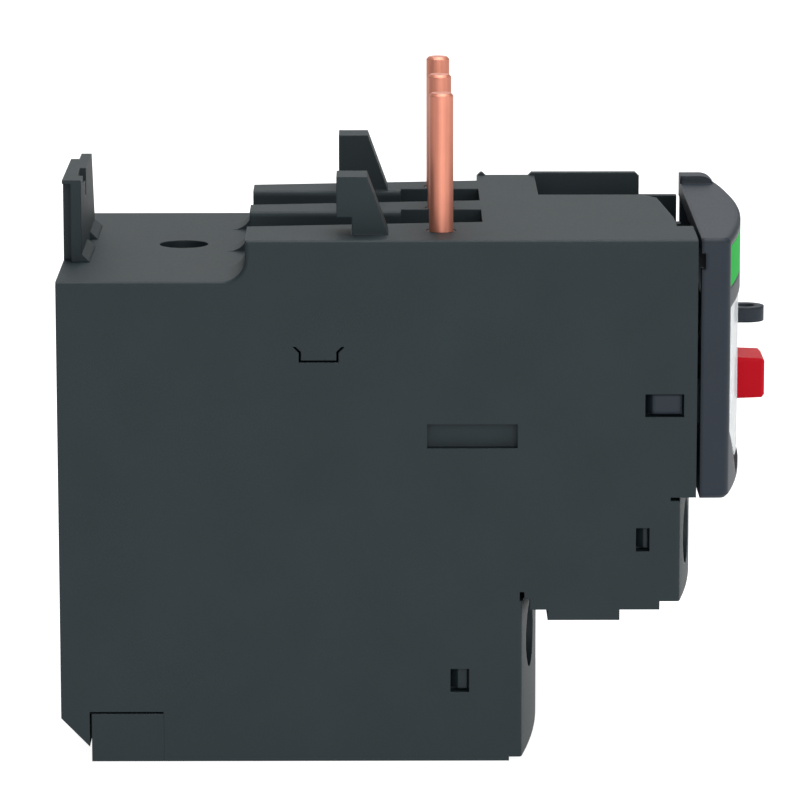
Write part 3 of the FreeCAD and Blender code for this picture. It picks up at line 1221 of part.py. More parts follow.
# Buttons and springs
def stop_button():
    half_x = STOP_SIZE[0] / 2
    back_half_z = STOP_SIZE[1] / 2
    front_half_z = back_half_z - STOP_TAPER
    block = box(STOP_X - half_x, STOP_X + half_x, STOP_BACK_D, STOP_FRONT_D, STOP_Z - back_half_z,
                STOP_Z + back_half_z)
    block = round_edges(block, STOP_EDGE, lambda edge: edge.BoundBox.YLength > STOP_EDGE)
    shoulder_d = STOP_FRONT_D - HEAD_CHAMFER
    tip_half_z = front_half_z - HEAD_CHAMFER
    tip_half_x = half_x - HEAD_CHAMFER
    taper = side_prism([(STOP_BACK_D, STOP_Z - back_half_z), (shoulder_d, STOP_Z - front_half_z),
                        (STOP_FRONT_D, STOP_Z - tip_half_z), (STOP_FRONT_D, STOP_Z + tip_half_z),
                        (shoulder_d, STOP_Z + front_half_z), (STOP_BACK_D, STOP_Z + back_half_z)],
                       STOP_X - half_x, STOP_X + half_x)
    sides = plan_prism([(STOP_X - half_x, STOP_BACK_D), (STOP_X - half_x, shoulder_d),
                        (STOP_X - tip_half_x, STOP_FRONT_D), (STOP_X + tip_half_x, STOP_FRONT_D),
                        (STOP_X + half_x, shoulder_d), (STOP_X + half_x, STOP_BACK_D)],
                       STOP_Z - back_half_z, STOP_Z + back_half_z)
    head = block.common(taper).common(sides)
    rod = rod_d(STOP_X, STOP_Z, ROD_RADIUS, ROD_BACK_D, STOP_BACK_D + 1)
    return head.fuse(rod).removeSplitter()


def reset_button():
    head = rod_d(RESET_X, RESET_Z, RESET_RADIUS, RESET_BACK_D, RESET_FRONT_D)

    def rim(edge):
        return edge.isClosed() and abs(middle(edge)[1] - RESET_FRONT_D) < 0.01

    head = head.makeChamfer(HEAD_CHAMFER, [edge for edge in head.Edges if rim(edge)])
    rod = rod_d(RESET_X, RESET_Z, ROD_RADIUS, ROD_BACK_D, RESET_BACK_D + 1)
    reach = RESET_RADIUS * 0.7
    slot = box(RESET_X - reach, RESET_X + reach, RESET_FRONT_D - 0.7, RESET_FRONT_D + 1,
               RESET_Z - 0.4, RESET_Z + 0.4)
    return head.fuse(rod).cut(slot).removeSplitter()


def reset_selector():
    back = FLOOR_FRONT_D + CLEARANCE
    front = back + SELECTOR_LENGTH
    ring = rod_d(RESET_X, RESET_Z, SELECTOR_RADIUS, back, front)
    bore = rod_d(RESET_X, RESET_Z, RESET_RADIUS + CLEARANCE, back - 1, front + 1)
    notch = box(RESET_X - 0.4, RESET_X + 0.4, front - 0.6, front + 1, RESET_Z + RESET_RADIUS - 0.5,
                RESET_Z + SELECTOR_RADIUS + 1)
    return cut(ring, [bore, notch])


def test_rod():
    rod = rod_d(TEST_X, TEST_Z, TEST_RADIUS, ROD_BACK_D + 1, TEST_FRONT_D)
    collar_back, collar_front = TEST_COLLAR_D
    collar = rod_d(TEST_X, TEST_Z, TEST_COLLAR_RADIUS, collar_back, collar_front)
    slot = box(TEST_X - 0.5, TEST_X + 0.5, TEST_FRONT_D - 0.4, TEST_FRONT_D + 1, TEST_Z - 0.15, TEST_Z + 0.15)
    return rod.fuse(collar).cut(slot)


def spring(x, z, rod_radius, d0, d1):
    coil_radius = rod_radius + SPRING_GAP + SPRING_WIRE
    length = d1 - d0 - 2 * SPRING_WIRE - 2 * CLEARANCE
    bends = SPRING_TURNS * SPRING_BENDS
    points = []
    for index in range(bends + 1):
        angle = 2 * math.pi * index / SPRING_BENDS
        rise = d0 + SPRING_WIRE + CLEARANCE + length * index / bends
        points.append(at(x + coil_radius * math.cos(angle), rise, z + coil_radius * math.sin(angle)))
    run = (points[1] - points[0]).normalize()
    across = run.cross(V(0, 1, 0)).normalize() * SPRING_WIRE
    along = run.cross(across).normalize() * SPRING_WIRE
    corners = [points[0] + across, points[0] + along, points[0] - across, points[0] - along]
    section = Part.makePolygon(corners + [corners[0]])
    return Part.makePolygon(points).makePipeShell([section], True, False, 1)


def stop_spring():
    return spring(STOP_X, STOP_Z, ROD_RADIUS, FRAME_WALL_D[1], STOP_BACK_D)


def reset_spring():
    return spring(RESET_X, RESET_Z, ROD_RADIUS, FRAME_WALL_D[1], RESET_BACK_D)


def test_spring():
    return spring(TEST_X, TEST_Z, TEST_RADIUS, FRAME_WALL_D[1], TEST_COLLAR_D[0])


def parts():
    named = {
        "housing": housing(),
        "rear_tab": rear_tab(),
        "base_plate": base_plate(),
        "power_terminal_block": power_block(),
        "control_terminal_block": control_block(),
        "mechanism_frame": mechanism_frame(),
        "front_cover": front_cover(),
        "face_plate": face_plate(),
        "label_plate": label_plate(),
        "clear_flap": clear_flap(),
        "setting_dial": setting_dial(),
        "setting_cam": setting_cam(),
        "setting_slide": setting_slide(),
        "trip_lever": trip_lever(),
        "compensating_strip": compensating_strip(),
        "contact_carrier": contact_carrier(),
        "contact_bridges": contact_bridges(),
        "trip_flag": trip_flag(),
        "lower_slide": slide_bar(LOWER_SLIDE_Z),
        "upper_slide": slide_bar(UPPER_SLIDE_Z),
        "differential_lever": differential_lever(),
        "stop_button": stop_button(),
        "stop_spring": stop_spring(),
        "reset_button": reset_button(),
        "reset_selector": reset_selector(),
        "reset_spring": reset_spring(),
        "test_rod": test_rod(),
        "test_spring": test_spring(),
    }
    for number, x in enumerate(POLE_X, 1):
        named[f"contact_pin_{number}"] = contact_pin(x)
        named[f"bimetal_{number}"] = bimetal(x)
        named[f"heater_{number}"] = heater(x)
        named[f"load_bar_{number}"] = load_bar(x)
        named[f"power_cage_{number}"] = power_cage(x)
        named[f"power_screw_{number}"] = power_screw(x)
    contacts = (NORMALLY_CLOSED_X, NORMALLY_CLOSED_X, NORMALLY_OPEN_X, NORMALLY_OPEN_X)
    for number, (x, contact_x) in enumerate(zip(CONTROL_X, contacts), 1):
        named[f"control_bar_{number}"] = control_bar(x, contact_x, number in (2, 4))
        named[f"control_cage_{number}"] = control_cage(x)
        named[f"control_screw_{number}"] = control_screw(x)
    return named


os.makedirs("parts", exist_ok=True)
for node, shape in parts().items():
    shape.exportStep(f"parts/{node}.step")
    if not shape.isValid() or not shape.Solids:
        print("check", node, shape.isValid(), len(shape.Solids))
    print(node, len(shape.Solids), round(shape.Volume, 1))
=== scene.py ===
import json
import math
import bmesh
import bpy
from mathutils import Matrix, Vector


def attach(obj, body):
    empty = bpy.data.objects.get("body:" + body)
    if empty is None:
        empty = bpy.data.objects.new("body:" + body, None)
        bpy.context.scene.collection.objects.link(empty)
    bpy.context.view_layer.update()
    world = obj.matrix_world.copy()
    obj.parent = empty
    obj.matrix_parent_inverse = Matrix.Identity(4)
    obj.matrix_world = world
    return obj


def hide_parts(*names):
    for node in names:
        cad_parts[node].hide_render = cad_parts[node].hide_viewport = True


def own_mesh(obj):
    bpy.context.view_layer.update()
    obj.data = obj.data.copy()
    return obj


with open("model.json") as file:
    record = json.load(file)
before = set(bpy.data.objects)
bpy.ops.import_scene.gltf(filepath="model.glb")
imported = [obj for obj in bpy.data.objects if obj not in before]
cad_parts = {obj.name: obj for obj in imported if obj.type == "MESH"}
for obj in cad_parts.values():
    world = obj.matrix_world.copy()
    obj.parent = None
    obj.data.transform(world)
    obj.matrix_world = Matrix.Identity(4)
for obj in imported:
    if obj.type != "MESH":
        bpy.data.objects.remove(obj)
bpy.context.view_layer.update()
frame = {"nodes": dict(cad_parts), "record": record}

NODES = frame["nodes"]
MM = 0.001

# Places of the relay, in millimetres: x across, d forward from the back plane, z up
BACK_Y = 35.75
POLES = (-16.0, -1.2, 13.6)
CONTROLS = (-16.2, -5.4, 5.4, 16.2)
POWER_SCREW_Z = 11.5
CONTROL_SCREW_Z = 22.05
STRIP_D = 20.5
HEATER_FOOT_Z = 9.6
DIAL_X = -10.5
DIAL_Z = 37.0
DIAL_RADIUS = 5.5
DIAL_FACE_D = 65.5
CASING_TOP_Z = 52.25


def at(x, d, z):
    return Vector((x * MM, (BACK_Y - d) * MM, z * MM))


# Shader building
class Wire:
    """A shader socket that can be used in sums."""

    def __init__(self, finish, socket):
        self.finish = finish
        self.socket = socket

    def _with(self, operation, *others):
        values = dict(enumerate((self,) + others))
        return self.finish.make("ShaderNodeMath", {"operation": operation}, values)

    def _behind(self, operation, other):
        return self.finish.make("ShaderNodeMath", {"operation": operation}, {0: other, 1: self})

    def __add__(self, other):
        return self._with("ADD", other)

    def __radd__(self, other):
        return self._behind("ADD", other)

    def __sub__(self, other):
        return self._with("SUBTRACT", other)

    def __rsub__(self, other):
        return self._behind("SUBTRACT", other)

    def __mul__(self, other):
        return self._with("MULTIPLY", other)

    def __rmul__(self, other):
        return self._behind("MULTIPLY", other)

    def __pow__(self, other):
        return self._with("POWER", other)

    def above(self, limit):
        return self._with("GREATER_THAN", limit)

    def below(self, limit):
        return self._with("LESS_THAN", limit)

    def between(self, low, high):
        return self.above(low) * self.below(high)

    def angle_to(self, other):
        return self._with("ARCTAN2", other)

    def root(self):
        return self._with("SQRT")

    def zigzag(self, width):
        return self._with("PINGPONG", width)


BEVEL_SAMPLES = 6
EDGE_WEAR_AND_HIGHLIGHT_CONTRAST = 6.0
# Sockets of the Mix node when it mixes colours
MIX_SHARE = 0
MIX_FIRST = 6
MIX_SECOND = 7
MIX_RESULT = 2


class Finish:
    """One material of the relay."""

    def __init__(self, name):
        self.material = bpy.data.materials.new(name)
        self.material.use_nodes = True
        self.tree = self.material.node_tree
        self.tree.nodes.clear()
        self.output = self.tree.nodes.new("ShaderNodeOutputMaterial")
        self.shader = self.tree.nodes.new("ShaderNodeBsdfPrincipled")
        self.join(Wire(self, self.shader.outputs[0]), self.output.inputs["Surface"])
        self.place = self.make("ShaderNodeTexCoord", output="Object")

    def join(self, value, socket):
        if isinstance(value, Wire):
            self.tree.links.new(value.socket, socket)
        else:
            socket.default_value = value

    def make(self, kind, settings=None, sockets=None, output=0):
        node = self.tree.nodes.new(kind)
        for key, value in (settings or {}).items():
            setattr(node, key, value)
        for key, value in (sockets or {}).items():
            self.join(value, node.inputs[key])
        return Wire(self, node.outputs[output])

    def set(self, **values):
        for key, value in values.items():
            self.join(value, self.shader.inputs[key.replace("_", " ")])

    def noise(self, scale, detail=2.0, roughness=0.5, stretch=None):
        """Noise of so many grains to the metre."""
        place = self.place
        if stretch:
            place = self.make("ShaderNodeMapping", None, {"Vector": place, "Scale": stretch})
        sockets = {"Vector": place, "Scale": scale, "Detail": detail, "Roughness": roughness}
        return self.make("ShaderNodeTexNoise", None, sockets)

    def axes(self):
        split = self.make("ShaderNodeSeparateXYZ", None, {0: self.place})
        outputs = split.socket.node.outputs
        return [Wire(self, outputs[i]) for i in range(3)]

    def blend(self, share, first, second):
        sockets = {MIX_SHARE: share, MIX_FIRST: first, MIX_SECOND: second}
        return self.make("ShaderNodeMix", {"data_type": "RGBA"}, sockets, MIX_RESULT)

    def softened(self, radius):
        return self.make("ShaderNodeBevel", {"samples": BEVEL_SAMPLES}, {"Radius": radius})

    def relief(self, height, depth, edge):
        """Bumps on the surface, with its edges softened."""
        sockets = {"Height": height, "Distance": depth, "Strength": 1.0, "Normal": self.softened(edge)}
        self.set(Normal=self.make("ShaderNodeBump", None, sockets))

    def edge_wear_and_highlight(self, radius):
        """Mask that rises near the edges, for edge wear and a painted edge highlight."""
        soft = self.softened(radius)
        flat = self.make("ShaderNodeNewGeometry", output="Normal")
        settings = {"operation": "DOT_PRODUCT"}
        dot = self.make("ShaderNodeVectorMath", settings, {0: soft, 1: flat}, "Value")
        return (1.0 - dot) * EDGE_WEAR_AND_HIGHLIGHT_CONTRAST


def rgb(red, green, blue):
    """Linear colour of an sRGB one."""
    def linear(value):
        value /= 255.0
        return value / 12.92 if value <= 0.04045 else ((value + 0.055) / 1.055) ** 2.4

    return (linear(red), linear(green), linear(blue), 1.0)


def moulded_plastic(name, colour, lighter, grain, gloss, edge):
    """Moulded plastic with a fine grain, slight mottling and paler edges, partly wear and partly a
    painted highlight.
    """
    finish = Finish(name)
    mottle = finish.noise(140.0, detail=3.0)
    speck = finish.noise(grain, roughness=0.6)
    base = finish.blend(mottle * 0.5 + speck * 0.3, colour, lighter)
    wear_and_highlight = finish.edge_wear_and_highlight(radius=0.22 * MM)
    # Paler edges: partly wear, partly a painted highlight where light catches the rounded edges.
    finish.set(Base_Color=finish.blend(wear_and_highlight * 0.25, base, lighter))
    finish.set(Roughness=gloss + speck * 0.16 - wear_and_highlight * 0.1, Specular_IOR_Level=0.2)
    finish.relief(speck, depth=0.012 * MM, edge=edge)
    return finish


HOLE_SHADE_DROP = 0.03


def drawn_copper():
    """Bare copper wire, drawn lengthwise, with faint dull patches and its foot inside its hole painted
    dark as shade.
    """
    finish = Finish("drawn_copper")
    lines = finish.noise(900.0, detail=3.0, roughness=0.6, stretch=(4.0, 4.0, 0.12))
    patches = finish.noise(220.0)
    fresh = finish.blend(lines, rgb(196, 122, 100), rgb(220, 150, 128))
    bright = finish.blend(patches * 0.45, fresh, rgb(154, 90, 72))
    # Painted shade: the wire below the casing top, inside its hole, is coloured dark brown for the
    # shade there.
    foot = finish.axes()[2].below((CASING_TOP_Z - HOLE_SHADE_DROP) * MM)
    finish.set(Base_Color=finish.blend(foot, bright, rgb(44, 32, 28)))
    finish.set(Metallic=0.75, Roughness=0.34 + lines * 0.2)
    finish.relief(lines, depth=0.01 * MM, edge=0.1 * MM)
    return finish


def plated_metal(name, colour, darker):
    """Plated or bare strip, bar or wire with fine rolling marks."""
    finish = Finish(name)
    marks = finish.noise(1500.0, detail=3.0, roughness=0.6, stretch=(1.0, 0.25, 1.0))
    patches = finish.noise(300.0)
    finish.set(Base_Color=finish.blend(patches, colour, darker))
    finish.set(Metallic=0.9, Roughness=0.28 + marks * 0.25)
    finish.relief(marks, depth=0.006 * MM, edge=0.06 * MM)
    return finish


def green_film():
    """Smooth green label film with a soft orange-peel surface."""
    finish = Finish("green_film")
    peel = finish.noise(500.0)
    speck = finish.noise(2600.0, detail=1.0)
    colour = finish.blend(peel * 0.6 + speck * 0.2, rgb(0, 150, 48), rgb(2, 164, 58))
    finish.set(Base_Color=colour, Roughness=0.5 + speck * 0.1, Specular_IOR_Level=0.03)
    finish.relief(peel, depth=0.008 * MM, edge=0.08 * MM)
    return finish


# Printed scale round the dial: millimetres from its middle, and radians
MARK_SPACING = math.radians(11.25)
MARK_HALF_WIDTH = 0.035
LONG_MARK_HALF_WIDTH = 0.045
MARK_START = 6.05
MARK_END = 6.6
LONG_MARK_END = 7.0
RING_START = 5.95
RING_END = 6.1
ARROW_SINK = 0.25
ARROW_RIM = 0.35


def white_plate():
    """White face plate and dial, with a printed scale and the dial's sunk arrow filled in dark."""
    finish = Finish("white_plate")
    x, y, z = finish.axes()
    across = x - DIAL_X * MM
    up = z - DIAL_Z * MM
    radius = (across * across + up * up).root()
    turn = up.angle_to(across)
    mark = turn.zigzag(MARK_SPACING).below(MARK_HALF_WIDTH)
    long_mark = turn.zigzag(MARK_SPACING * 2).below(LONG_MARK_HALF_WIDTH)
    band = radius.between(MARK_START * MM, MARK_END * MM)
    long_band = radius.between(MARK_START * MM, LONG_MARK_END * MM)
    sunk = y.above((BACK_Y - DIAL_FACE_D + ARROW_SINK) * MM)
    sunk_arrow = sunk * radius.below((DIAL_RADIUS - ARROW_RIM) * MM)
    marks = mark * band + long_mark * long_band + sunk_arrow
    ring = radius.between(RING_START * MM, RING_END * MM)
    settings = {"operation": "MAXIMUM", "use_clamp": True}
    ink = finish.make("ShaderNodeMath", settings, {0: marks, 1: ring})
    speck = finish.noise(2400.0)
    paper = finish.blend(speck * 0.4, rgb(238, 240, 240), rgb(228, 231, 232))
    finish.set(Base_Color=finish.blend(ink, paper, rgb(24, 27, 30)))
    finish.set(Roughness=0.3 + speck * 0.12)
    finish.relief(speck, depth=0.006 * MM, edge=0.08 * MM)
    return finish


def clear_plastic():
    """Clear flap plastic with faint flow marks, and a painted grey reflection mixed in where it is seen
    at a grazing angle.
    """
    finish = Finish("clear_plastic")
    flow = finish.noise(60.0)
    fine = finish.noise(900.0)
    finish.set(Base_Color=finish.blend(flow, rgb(250, 252, 252), rgb(242, 247, 248)))
    finish.set(Roughness=0.04 + fine * 0.05, Transmission_Weight=0.92, IOR=1.49)
    finish.relief(flow, depth=0.01 * MM, edge=0.1 * MM)
    # Painted reflection: a grey matte layer stands in for what the flap reflects when seen edge-on.
    sockets = {"Base Color": rgb(180, 184, 187), "Roughness": 0.5, "Specular IOR Level": 0.1}
    grazing_reflection = finish.make("ShaderNodeBsdfPrincipled", None, sockets)
    facing = finish.make("ShaderNodeLayerWeight", None, {"Blend": 0.5}, "Facing")
    clear = Wire(finish, finish.shader.outputs[0])
    both = finish.make("ShaderNodeMixShader", None, {0: facing ** 5.0, 1: clear, 2: grazing_reflection})
    finish.join(both, finish.output.inputs["Surface"])
    return finish


def red_plastic():
    """Satin red push button with a fine grain."""
    finish = Finish("red_plastic")
    speck = finish.noise(2200.0)
    cloud = finish.noise(260.0)
    colour = finish.blend(cloud * 0.5 + speck * 0.2, rgb(162, 8, 22), rgb(178, 14, 30))
    finish.set(Base_Color=colour, Roughness=0.34 + speck * 0.14, Specular_IOR_Level=0.05)
    finish.relief(speck, depth=0.008 * MM, edge=0.3 * MM)
    return finish


FINISHES = {
    "housing_plastic": moulded_plastic(
        "housing_plastic", rgb(23, 33, 36), rgb(34, 45, 49), grain=5200.0, gloss=0.5, edge=0.2 * MM),
    "cover_plastic": moulded_plastic(
        "cover_plastic", rgb(24, 32, 40), rgb(35, 43, 52), grain=5600.0, gloss=0.42, edge=0.6 * MM),
    "block_plastic": moulded_plastic(
        "block_plastic", rgb(23, 33, 36), rgb(34, 44, 48), grain=4800.0, gloss=0.48, edge=0.2 * MM),
    "inner_plastic": moulded_plastic(
        "inner_plastic", rgb(70, 72, 74), rgb(88, 90, 92), grain=4200.0, gloss=0.5, edge=0.12 * MM),
    "label_green": green_film(),
    "face_white": white_plate(),
    "flap_clear": clear_plastic(),
    "red_plastic": red_plastic(),
    "blue_plastic": moulded_plastic(
        "blue_plastic", rgb(24, 74, 148), rgb(38, 92, 168), grain=3200.0, gloss=0.34, edge=0.15 * MM),
    "copper": drawn_copper(),
    "plated_steel": plated_metal("zinc_steel", rgb(176, 176, 170), rgb(146, 148, 146)),
    "tinned_bar": plated_metal("tinned_bar", rgb(190, 188, 180), rgb(160, 158, 150)),
    "bimetal": plated_metal("bimetal_strip", rgb(160, 162, 164), rgb(128, 130, 134)),
    "heater_wire": plated_metal("heater_wire", rgb(120, 116, 110), rgb(84, 78, 74)),
    "contact_silver": plated_metal("contact_silver", rgb(214, 212, 204), rgb(184, 182, 174)),
}

for part in frame["record"]["subparts"]:
    data = NODES[part["node"]].data
    data.materials.clear()
    data.materials.append(FINISHES[part["material_slot"]].material)


# Pieces
def piece_of(name, mesh, body, slot_name, *replaced):
    """Piece that rides on a body and takes the place of its CAD nodes."""
    body_object = bpy.data.objects.new(name, mesh)
    bpy.context.scene.collection.objects.link(body_object)
    mesh.materials.clear()
    mesh.materials.append(FINISHES[slot_name].material)
    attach(body_object, body)
    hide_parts(*replaced)
    return body_object


def lathe(rings, around, radius_at):
    """Closed surface of revolution about the d axis, in millimetres: rings are d values."""
    mesh = bmesh.new()
    rows = []
    for index, d in enumerate(rings):
        row = []
        for step in range(around):
            angle = 2 * math.pi * step / around
            radius = radius_at(index, d, angle)
            row.append(mesh.verts.new((radius * math.cos(angle), -d, radius * math.sin(angle))))
        rows.append(row)
    for lower, upper in zip(rows, rows[1:]):
        for step in range(around):
            after = (step + 1) % around
            mesh.faces.new((lower[step], lower[after], upper[after], upper[step]))
    for row, d in ((rows[0], rings[0]), (rows[-1], rings[-1])):
        centre = mesh.verts.new((0.0, -d, 0.0))
        for step in range(around):
            mesh.faces.new((row[step], row[(step + 1) % around], centre))
    bmesh.ops.recalc_face_normals(mesh, faces=mesh.faces)
    return mesh


def block_between(low, high):
    mesh = bmesh.new()
    bmesh.ops.create_cube(mesh, size=1.0)
    for vert in mesh.verts:
        vert.co = Vector([low[k] + (vert.co[k] + 0.5) * (high[k] - low[k]) for k in range(3)])
    return mesh


def to_object(name, mesh):
    data = bpy.data.meshes.new(name)
    mesh.to_mesh(data)
    mesh.free()
    holder = bpy.data.objects.new(name, data)
    bpy.context.scene.collection.objects.link(holder)
    return holder


def take_out(holder):
    """Removes an object and its mesh."""
    data = holder.data
    bpy.data.objects.remove(holder)
    bpy.data.meshes.remove(data)


def settled(holder):
    """Plain mesh of an object with its modifiers, and the object removed."""
    bpy.context.view_layer.update()
    graph = bpy.context.evaluated_depsgraph_get()
    data = bpy.data.meshes.new_from_object(holder.evaluated_get(graph))
    take_out(holder)
    return data


# Clamp screws: millimetres, degrees, and shares of the head's radius or depth
SCREW_SIDES = 40
THREAD_PITCH = 0.7
THREAD_DEPTH = 0.24
THREAD_STEPS = 8
THREAD_FLANK = 1.35
THREAD_RUNOUT = 0.3
LEAD_IN_TURNS = 1.3
LEAD_IN_SHARE = 0.55
SKIN = 0.02
NECK_STEP = 0.04
HEAD_CHAMFER = 0.16
HEAD_CHAMFER_DEPTH = 0.12
HEAD_WALL_SHARE = 0.45
DOME_STEPS = 7
DOME_STEP = 11.5
DOME_TOP_SHARE = 0.1
SLOT_HALF_SHARE = 0.14
SLOT_DEPTH_SHARE = 0.55
CROSS_REACH_SHARE = 0.62
CROSS_DEPTH_RATIO = 1.1
CUT_SPARE = 1
SHARP_ANGLE = 38


def clamp_screw(name, tip_d, head_back_d, head_depth, head_radius, shank_radius):
    """Clamp screw with a domed head, a slot crossed by a shorter one, and a rolled thread."""
    ring_gap = THREAD_PITCH / THREAD_STEPS
    count = int((head_back_d - tip_d - THREAD_RUNOUT) / ring_gap)
    rings = [tip_d + SKIN + ring_gap * index for index in range(count)]
    thread_end = len(rings)
    wall_end = head_back_d + head_depth * HEAD_WALL_SHARE
    rings += [head_back_d - NECK_STEP, head_back_d, head_back_d + HEAD_CHAMFER_DEPTH, wall_end]
    rim = head_radius - SKIN
    radii = [shank_radius - THREAD_DEPTH, head_radius - HEAD_CHAMFER, rim, rim]
    for step in range(1, DOME_STEPS + 1):
        angle = math.radians(DOME_STEP * step)
        rise = HEAD_WALL_SHARE + (1 - HEAD_WALL_SHARE) * math.sin(angle)
        rings.append(head_back_d + head_depth * rise - SKIN / 2)
        radii.append(head_radius * (DOME_TOP_SHARE + (1 - DOME_TOP_SHARE) * math.cos(angle)) - SKIN)

    def radius_at(index, d, angle):
        if index >= thread_end:
            return radii[index - thread_end]
        phase = (d / THREAD_PITCH - angle / (2 * math.pi)) % 1.0
        ridge = min(1.0, THREAD_FLANK * (1.0 - abs(2.0 * phase - 1.0)))
        lead_in = min(1.0, LEAD_IN_SHARE + (d - tip_d) / (LEAD_IN_TURNS * THREAD_PITCH))
        return (shank_radius - SKIN - THREAD_DEPTH * (1.0 - ridge)) * lead_in

    holder = to_object(name, lathe(rings, SCREW_SIDES, radius_at))
    face = -(head_back_d + head_depth)
    half = head_radius * SLOT_HALF_SHARE
    reach = head_radius * CROSS_REACH_SHARE
    deep = head_depth * SLOT_DEPTH_SHARE
    past = head_radius + CUT_SPARE
    slots = [((-past, face - CUT_SPARE, -half), (past, face + deep, half)),
             ((-half, face - CUT_SPARE, -reach), (half, face + deep * CROSS_DEPTH_RATIO, reach))]
    cutters = []
    for number, (low, high) in enumerate(slots):
        cutter = to_object(f"{name}_cut_{number}", block_between(low, high))
        cutter.hide_render = True
        cutters.append(cutter)
        modifier = holder.modifiers.new(f"cut_{number}", "BOOLEAN")
        modifier.operation = "DIFFERENCE"
        modifier.solver = "EXACT"
        modifier.object = cutter
    data = settled(holder)
    for cutter in cutters:
        take_out(cutter)
    for polygon in data.polygons:
        polygon.use_smooth = True
    data.set_sharp_from_angle(angle=math.radians(SHARP_ANGLE))
    return data


def copy_at(data, name, x, z, turn):
    """Copy of a mesh in millimetres about the d axis, set at x, z and turned about it."""
    copy = data.copy()
    copy.name = name
    move = Matrix.Translation(Vector((x, BACK_Y, z)) * MM)
    copy.transform(move @ Matrix.Rotation(turn, 4, "Y") @ Matrix.Scale(MM, 4))
    return copy


def row_of_screws(kind, shape, places, z, turns):
    """A screw at each place, each turned by its own number of degrees."""
    for number, (x, turn) in enumerate(zip(places, turns), 1):
        name = f"{kind}_{number}"
        mesh = copy_at(shape, name, x, z, math.radians(turn))
        piece_of(f"{name}_head", mesh, name, "plated_steel", name)


def power_screws():
    shape = clamp_screw("power_screw_shape", tip_d=38.86, head_back_d=43.8, head_depth=1.6,
                        head_radius=3.0, shank_radius=1.75)
    row_of_screws("power_screw", shape, POLES, POWER_SCREW_Z, turns=(35, -20, 75))


def control_screws():
    shape = clamp_screw("control_screw_shape", tip_d=55.56, head_back_d=59.3, head_depth=1.4,
                        head_radius=2.8, shank_radius=1.3)
    row_of_screws("control_screw", shape, CONTROLS, CONTROL_SCREW_Z, turns=(10, 62, -33, 81))


power_screws()
control_screws()

# Wound wire: springs and heater windings
COIL_STEPS = 28
WIRE_SIDES = 10
MERGE_DISTANCE = 0.0005


def wound_wire_tree():
    """Node tree for a coil of wire, flattened along y by its depth scale."""
    tree = bpy.data.node_groups.new("wound_wire", "GeometryNodeTree")
    tree.interface.new_socket("Geometry", in_out="INPUT", socket_type="NodeSocketGeometry")
    for label in ("Turns", "Radius", "Length", "Wire Radius", "Depth Scale"):
        tree.interface.new_socket(label, in_out="INPUT", socket_type="NodeSocketFloat")
    tree.interface.new_socket("Finish", in_out="INPUT", socket_type="NodeSocketMaterial")
    tree.interface.new_socket("Geometry", in_out="OUTPUT", socket_type="NodeSocketGeometry")
    add = tree.nodes.new
    join = tree.links.new
    given = add("NodeGroupInput")
    made = add("NodeGroupOutput")
    coil = add("GeometryNodeCurveSpiral")
    coil.inputs["Resolution"].default_value = COIL_STEPS
    join(given.outputs["Turns"], coil.inputs["Rotations"])
    join(given.outputs["Radius"], coil.inputs["Start Radius"])
    join(given.outputs["Radius"], coil.inputs["End Radius"])
    join(given.outputs["Length"], coil.inputs["Height"])
    flat = add("ShaderNodeCombineXYZ")
    flat.inputs["X"].default_value = 1.0
    flat.inputs["Z"].default_value = 1.0
    join(given.outputs["Depth Scale"], flat.inputs["Y"])
    shaped = add("GeometryNodeTransform")
    join(coil.outputs["Curve"], shaped.inputs["Geometry"])
    join(flat.outputs[0], shaped.inputs["Scale"])
    section = add("GeometryNodeCurvePrimitiveCircle")
    section.inputs["Resolution"].default_value = WIRE_SIDES
    join(given.outputs["Wire Radius"], section.inputs["Radius"])
    tube = add("GeometryNodeCurveToMesh")
    tube.inputs["Fill Caps"].default_value = True
    join(shaped.outputs["Geometry"], tube.inputs["Curve"])
    join(section.outputs["Curve"], tube.inputs["Profile Curve"])
    real = add("GeometryNodeRealizeInstances")
    join(tube.outputs["Mesh"], real.inputs["Geometry"])
    coated = add("GeometryNodeSetMaterial")
    join(real.outputs["Geometry"], coated.inputs["Geometry"])
    join(given.outputs["Finish"], coated.inputs["Material"])
    join(coated.outputs["Geometry"], made.inputs["Geometry"])
    return tree


WOUND_WIRE = wound_wire_tree()


def wound_wire(name, slot_name, turns, radius, length, wire, depth_scale):
    """Coil about z from 0 to length, in millimetres."""
    holder = bpy.data.objects.new(name, bpy.data.meshes.new(name))
    bpy.context.scene.collection.objects.link(holder)
    modifier = holder.modifiers.new("coil", "NODES")
    modifier.node_group = WOUND_WIRE
    values = {"Turns": turns, "Radius": radius, "Length": length, "Wire Radius": wire,
              "Depth Scale": depth_scale, "Finish": FINISHES[slot_name].material}
    for item in WOUND_WIRE.interface.items_tree:
        if item.in_out == "INPUT" and item.name in values:
            modifier[item.identifier] = values[item.name]
    data = settled(holder)
    for polygon in data.polygons:
        polygon.use_smooth = True
    mesh = bmesh.new()
    mesh.from_mesh(data)
    bmesh.ops.remove_doubles(mesh, verts=mesh.verts, dist=MERGE_DISTANCE)
    bmesh.ops.recalc_face_normals(mesh, faces=mesh.faces)
    mesh.to_mesh(data)
    mesh.free()
    return data


# Each spring's name, joint, x, z, radius, front d, and share of its length left when pressed
SPRINGS = (
    ("stop_spring", "stop_press", 9.2, 33.25, 1.68, 64.5, 0.64),
    ("reset_spring", "reset_press", 11.0, 39.8, 1.68, 64.1, 0.57),
    ("test_spring", "test_press", -1.8, 38.6, 1.28, 61.4, 0.58),
)
SPRING_BACK_D = 57.6
SPRING_WIRE = 0.19
SPRING_TURNS = 6.0
SPRING_GAP = 0.06


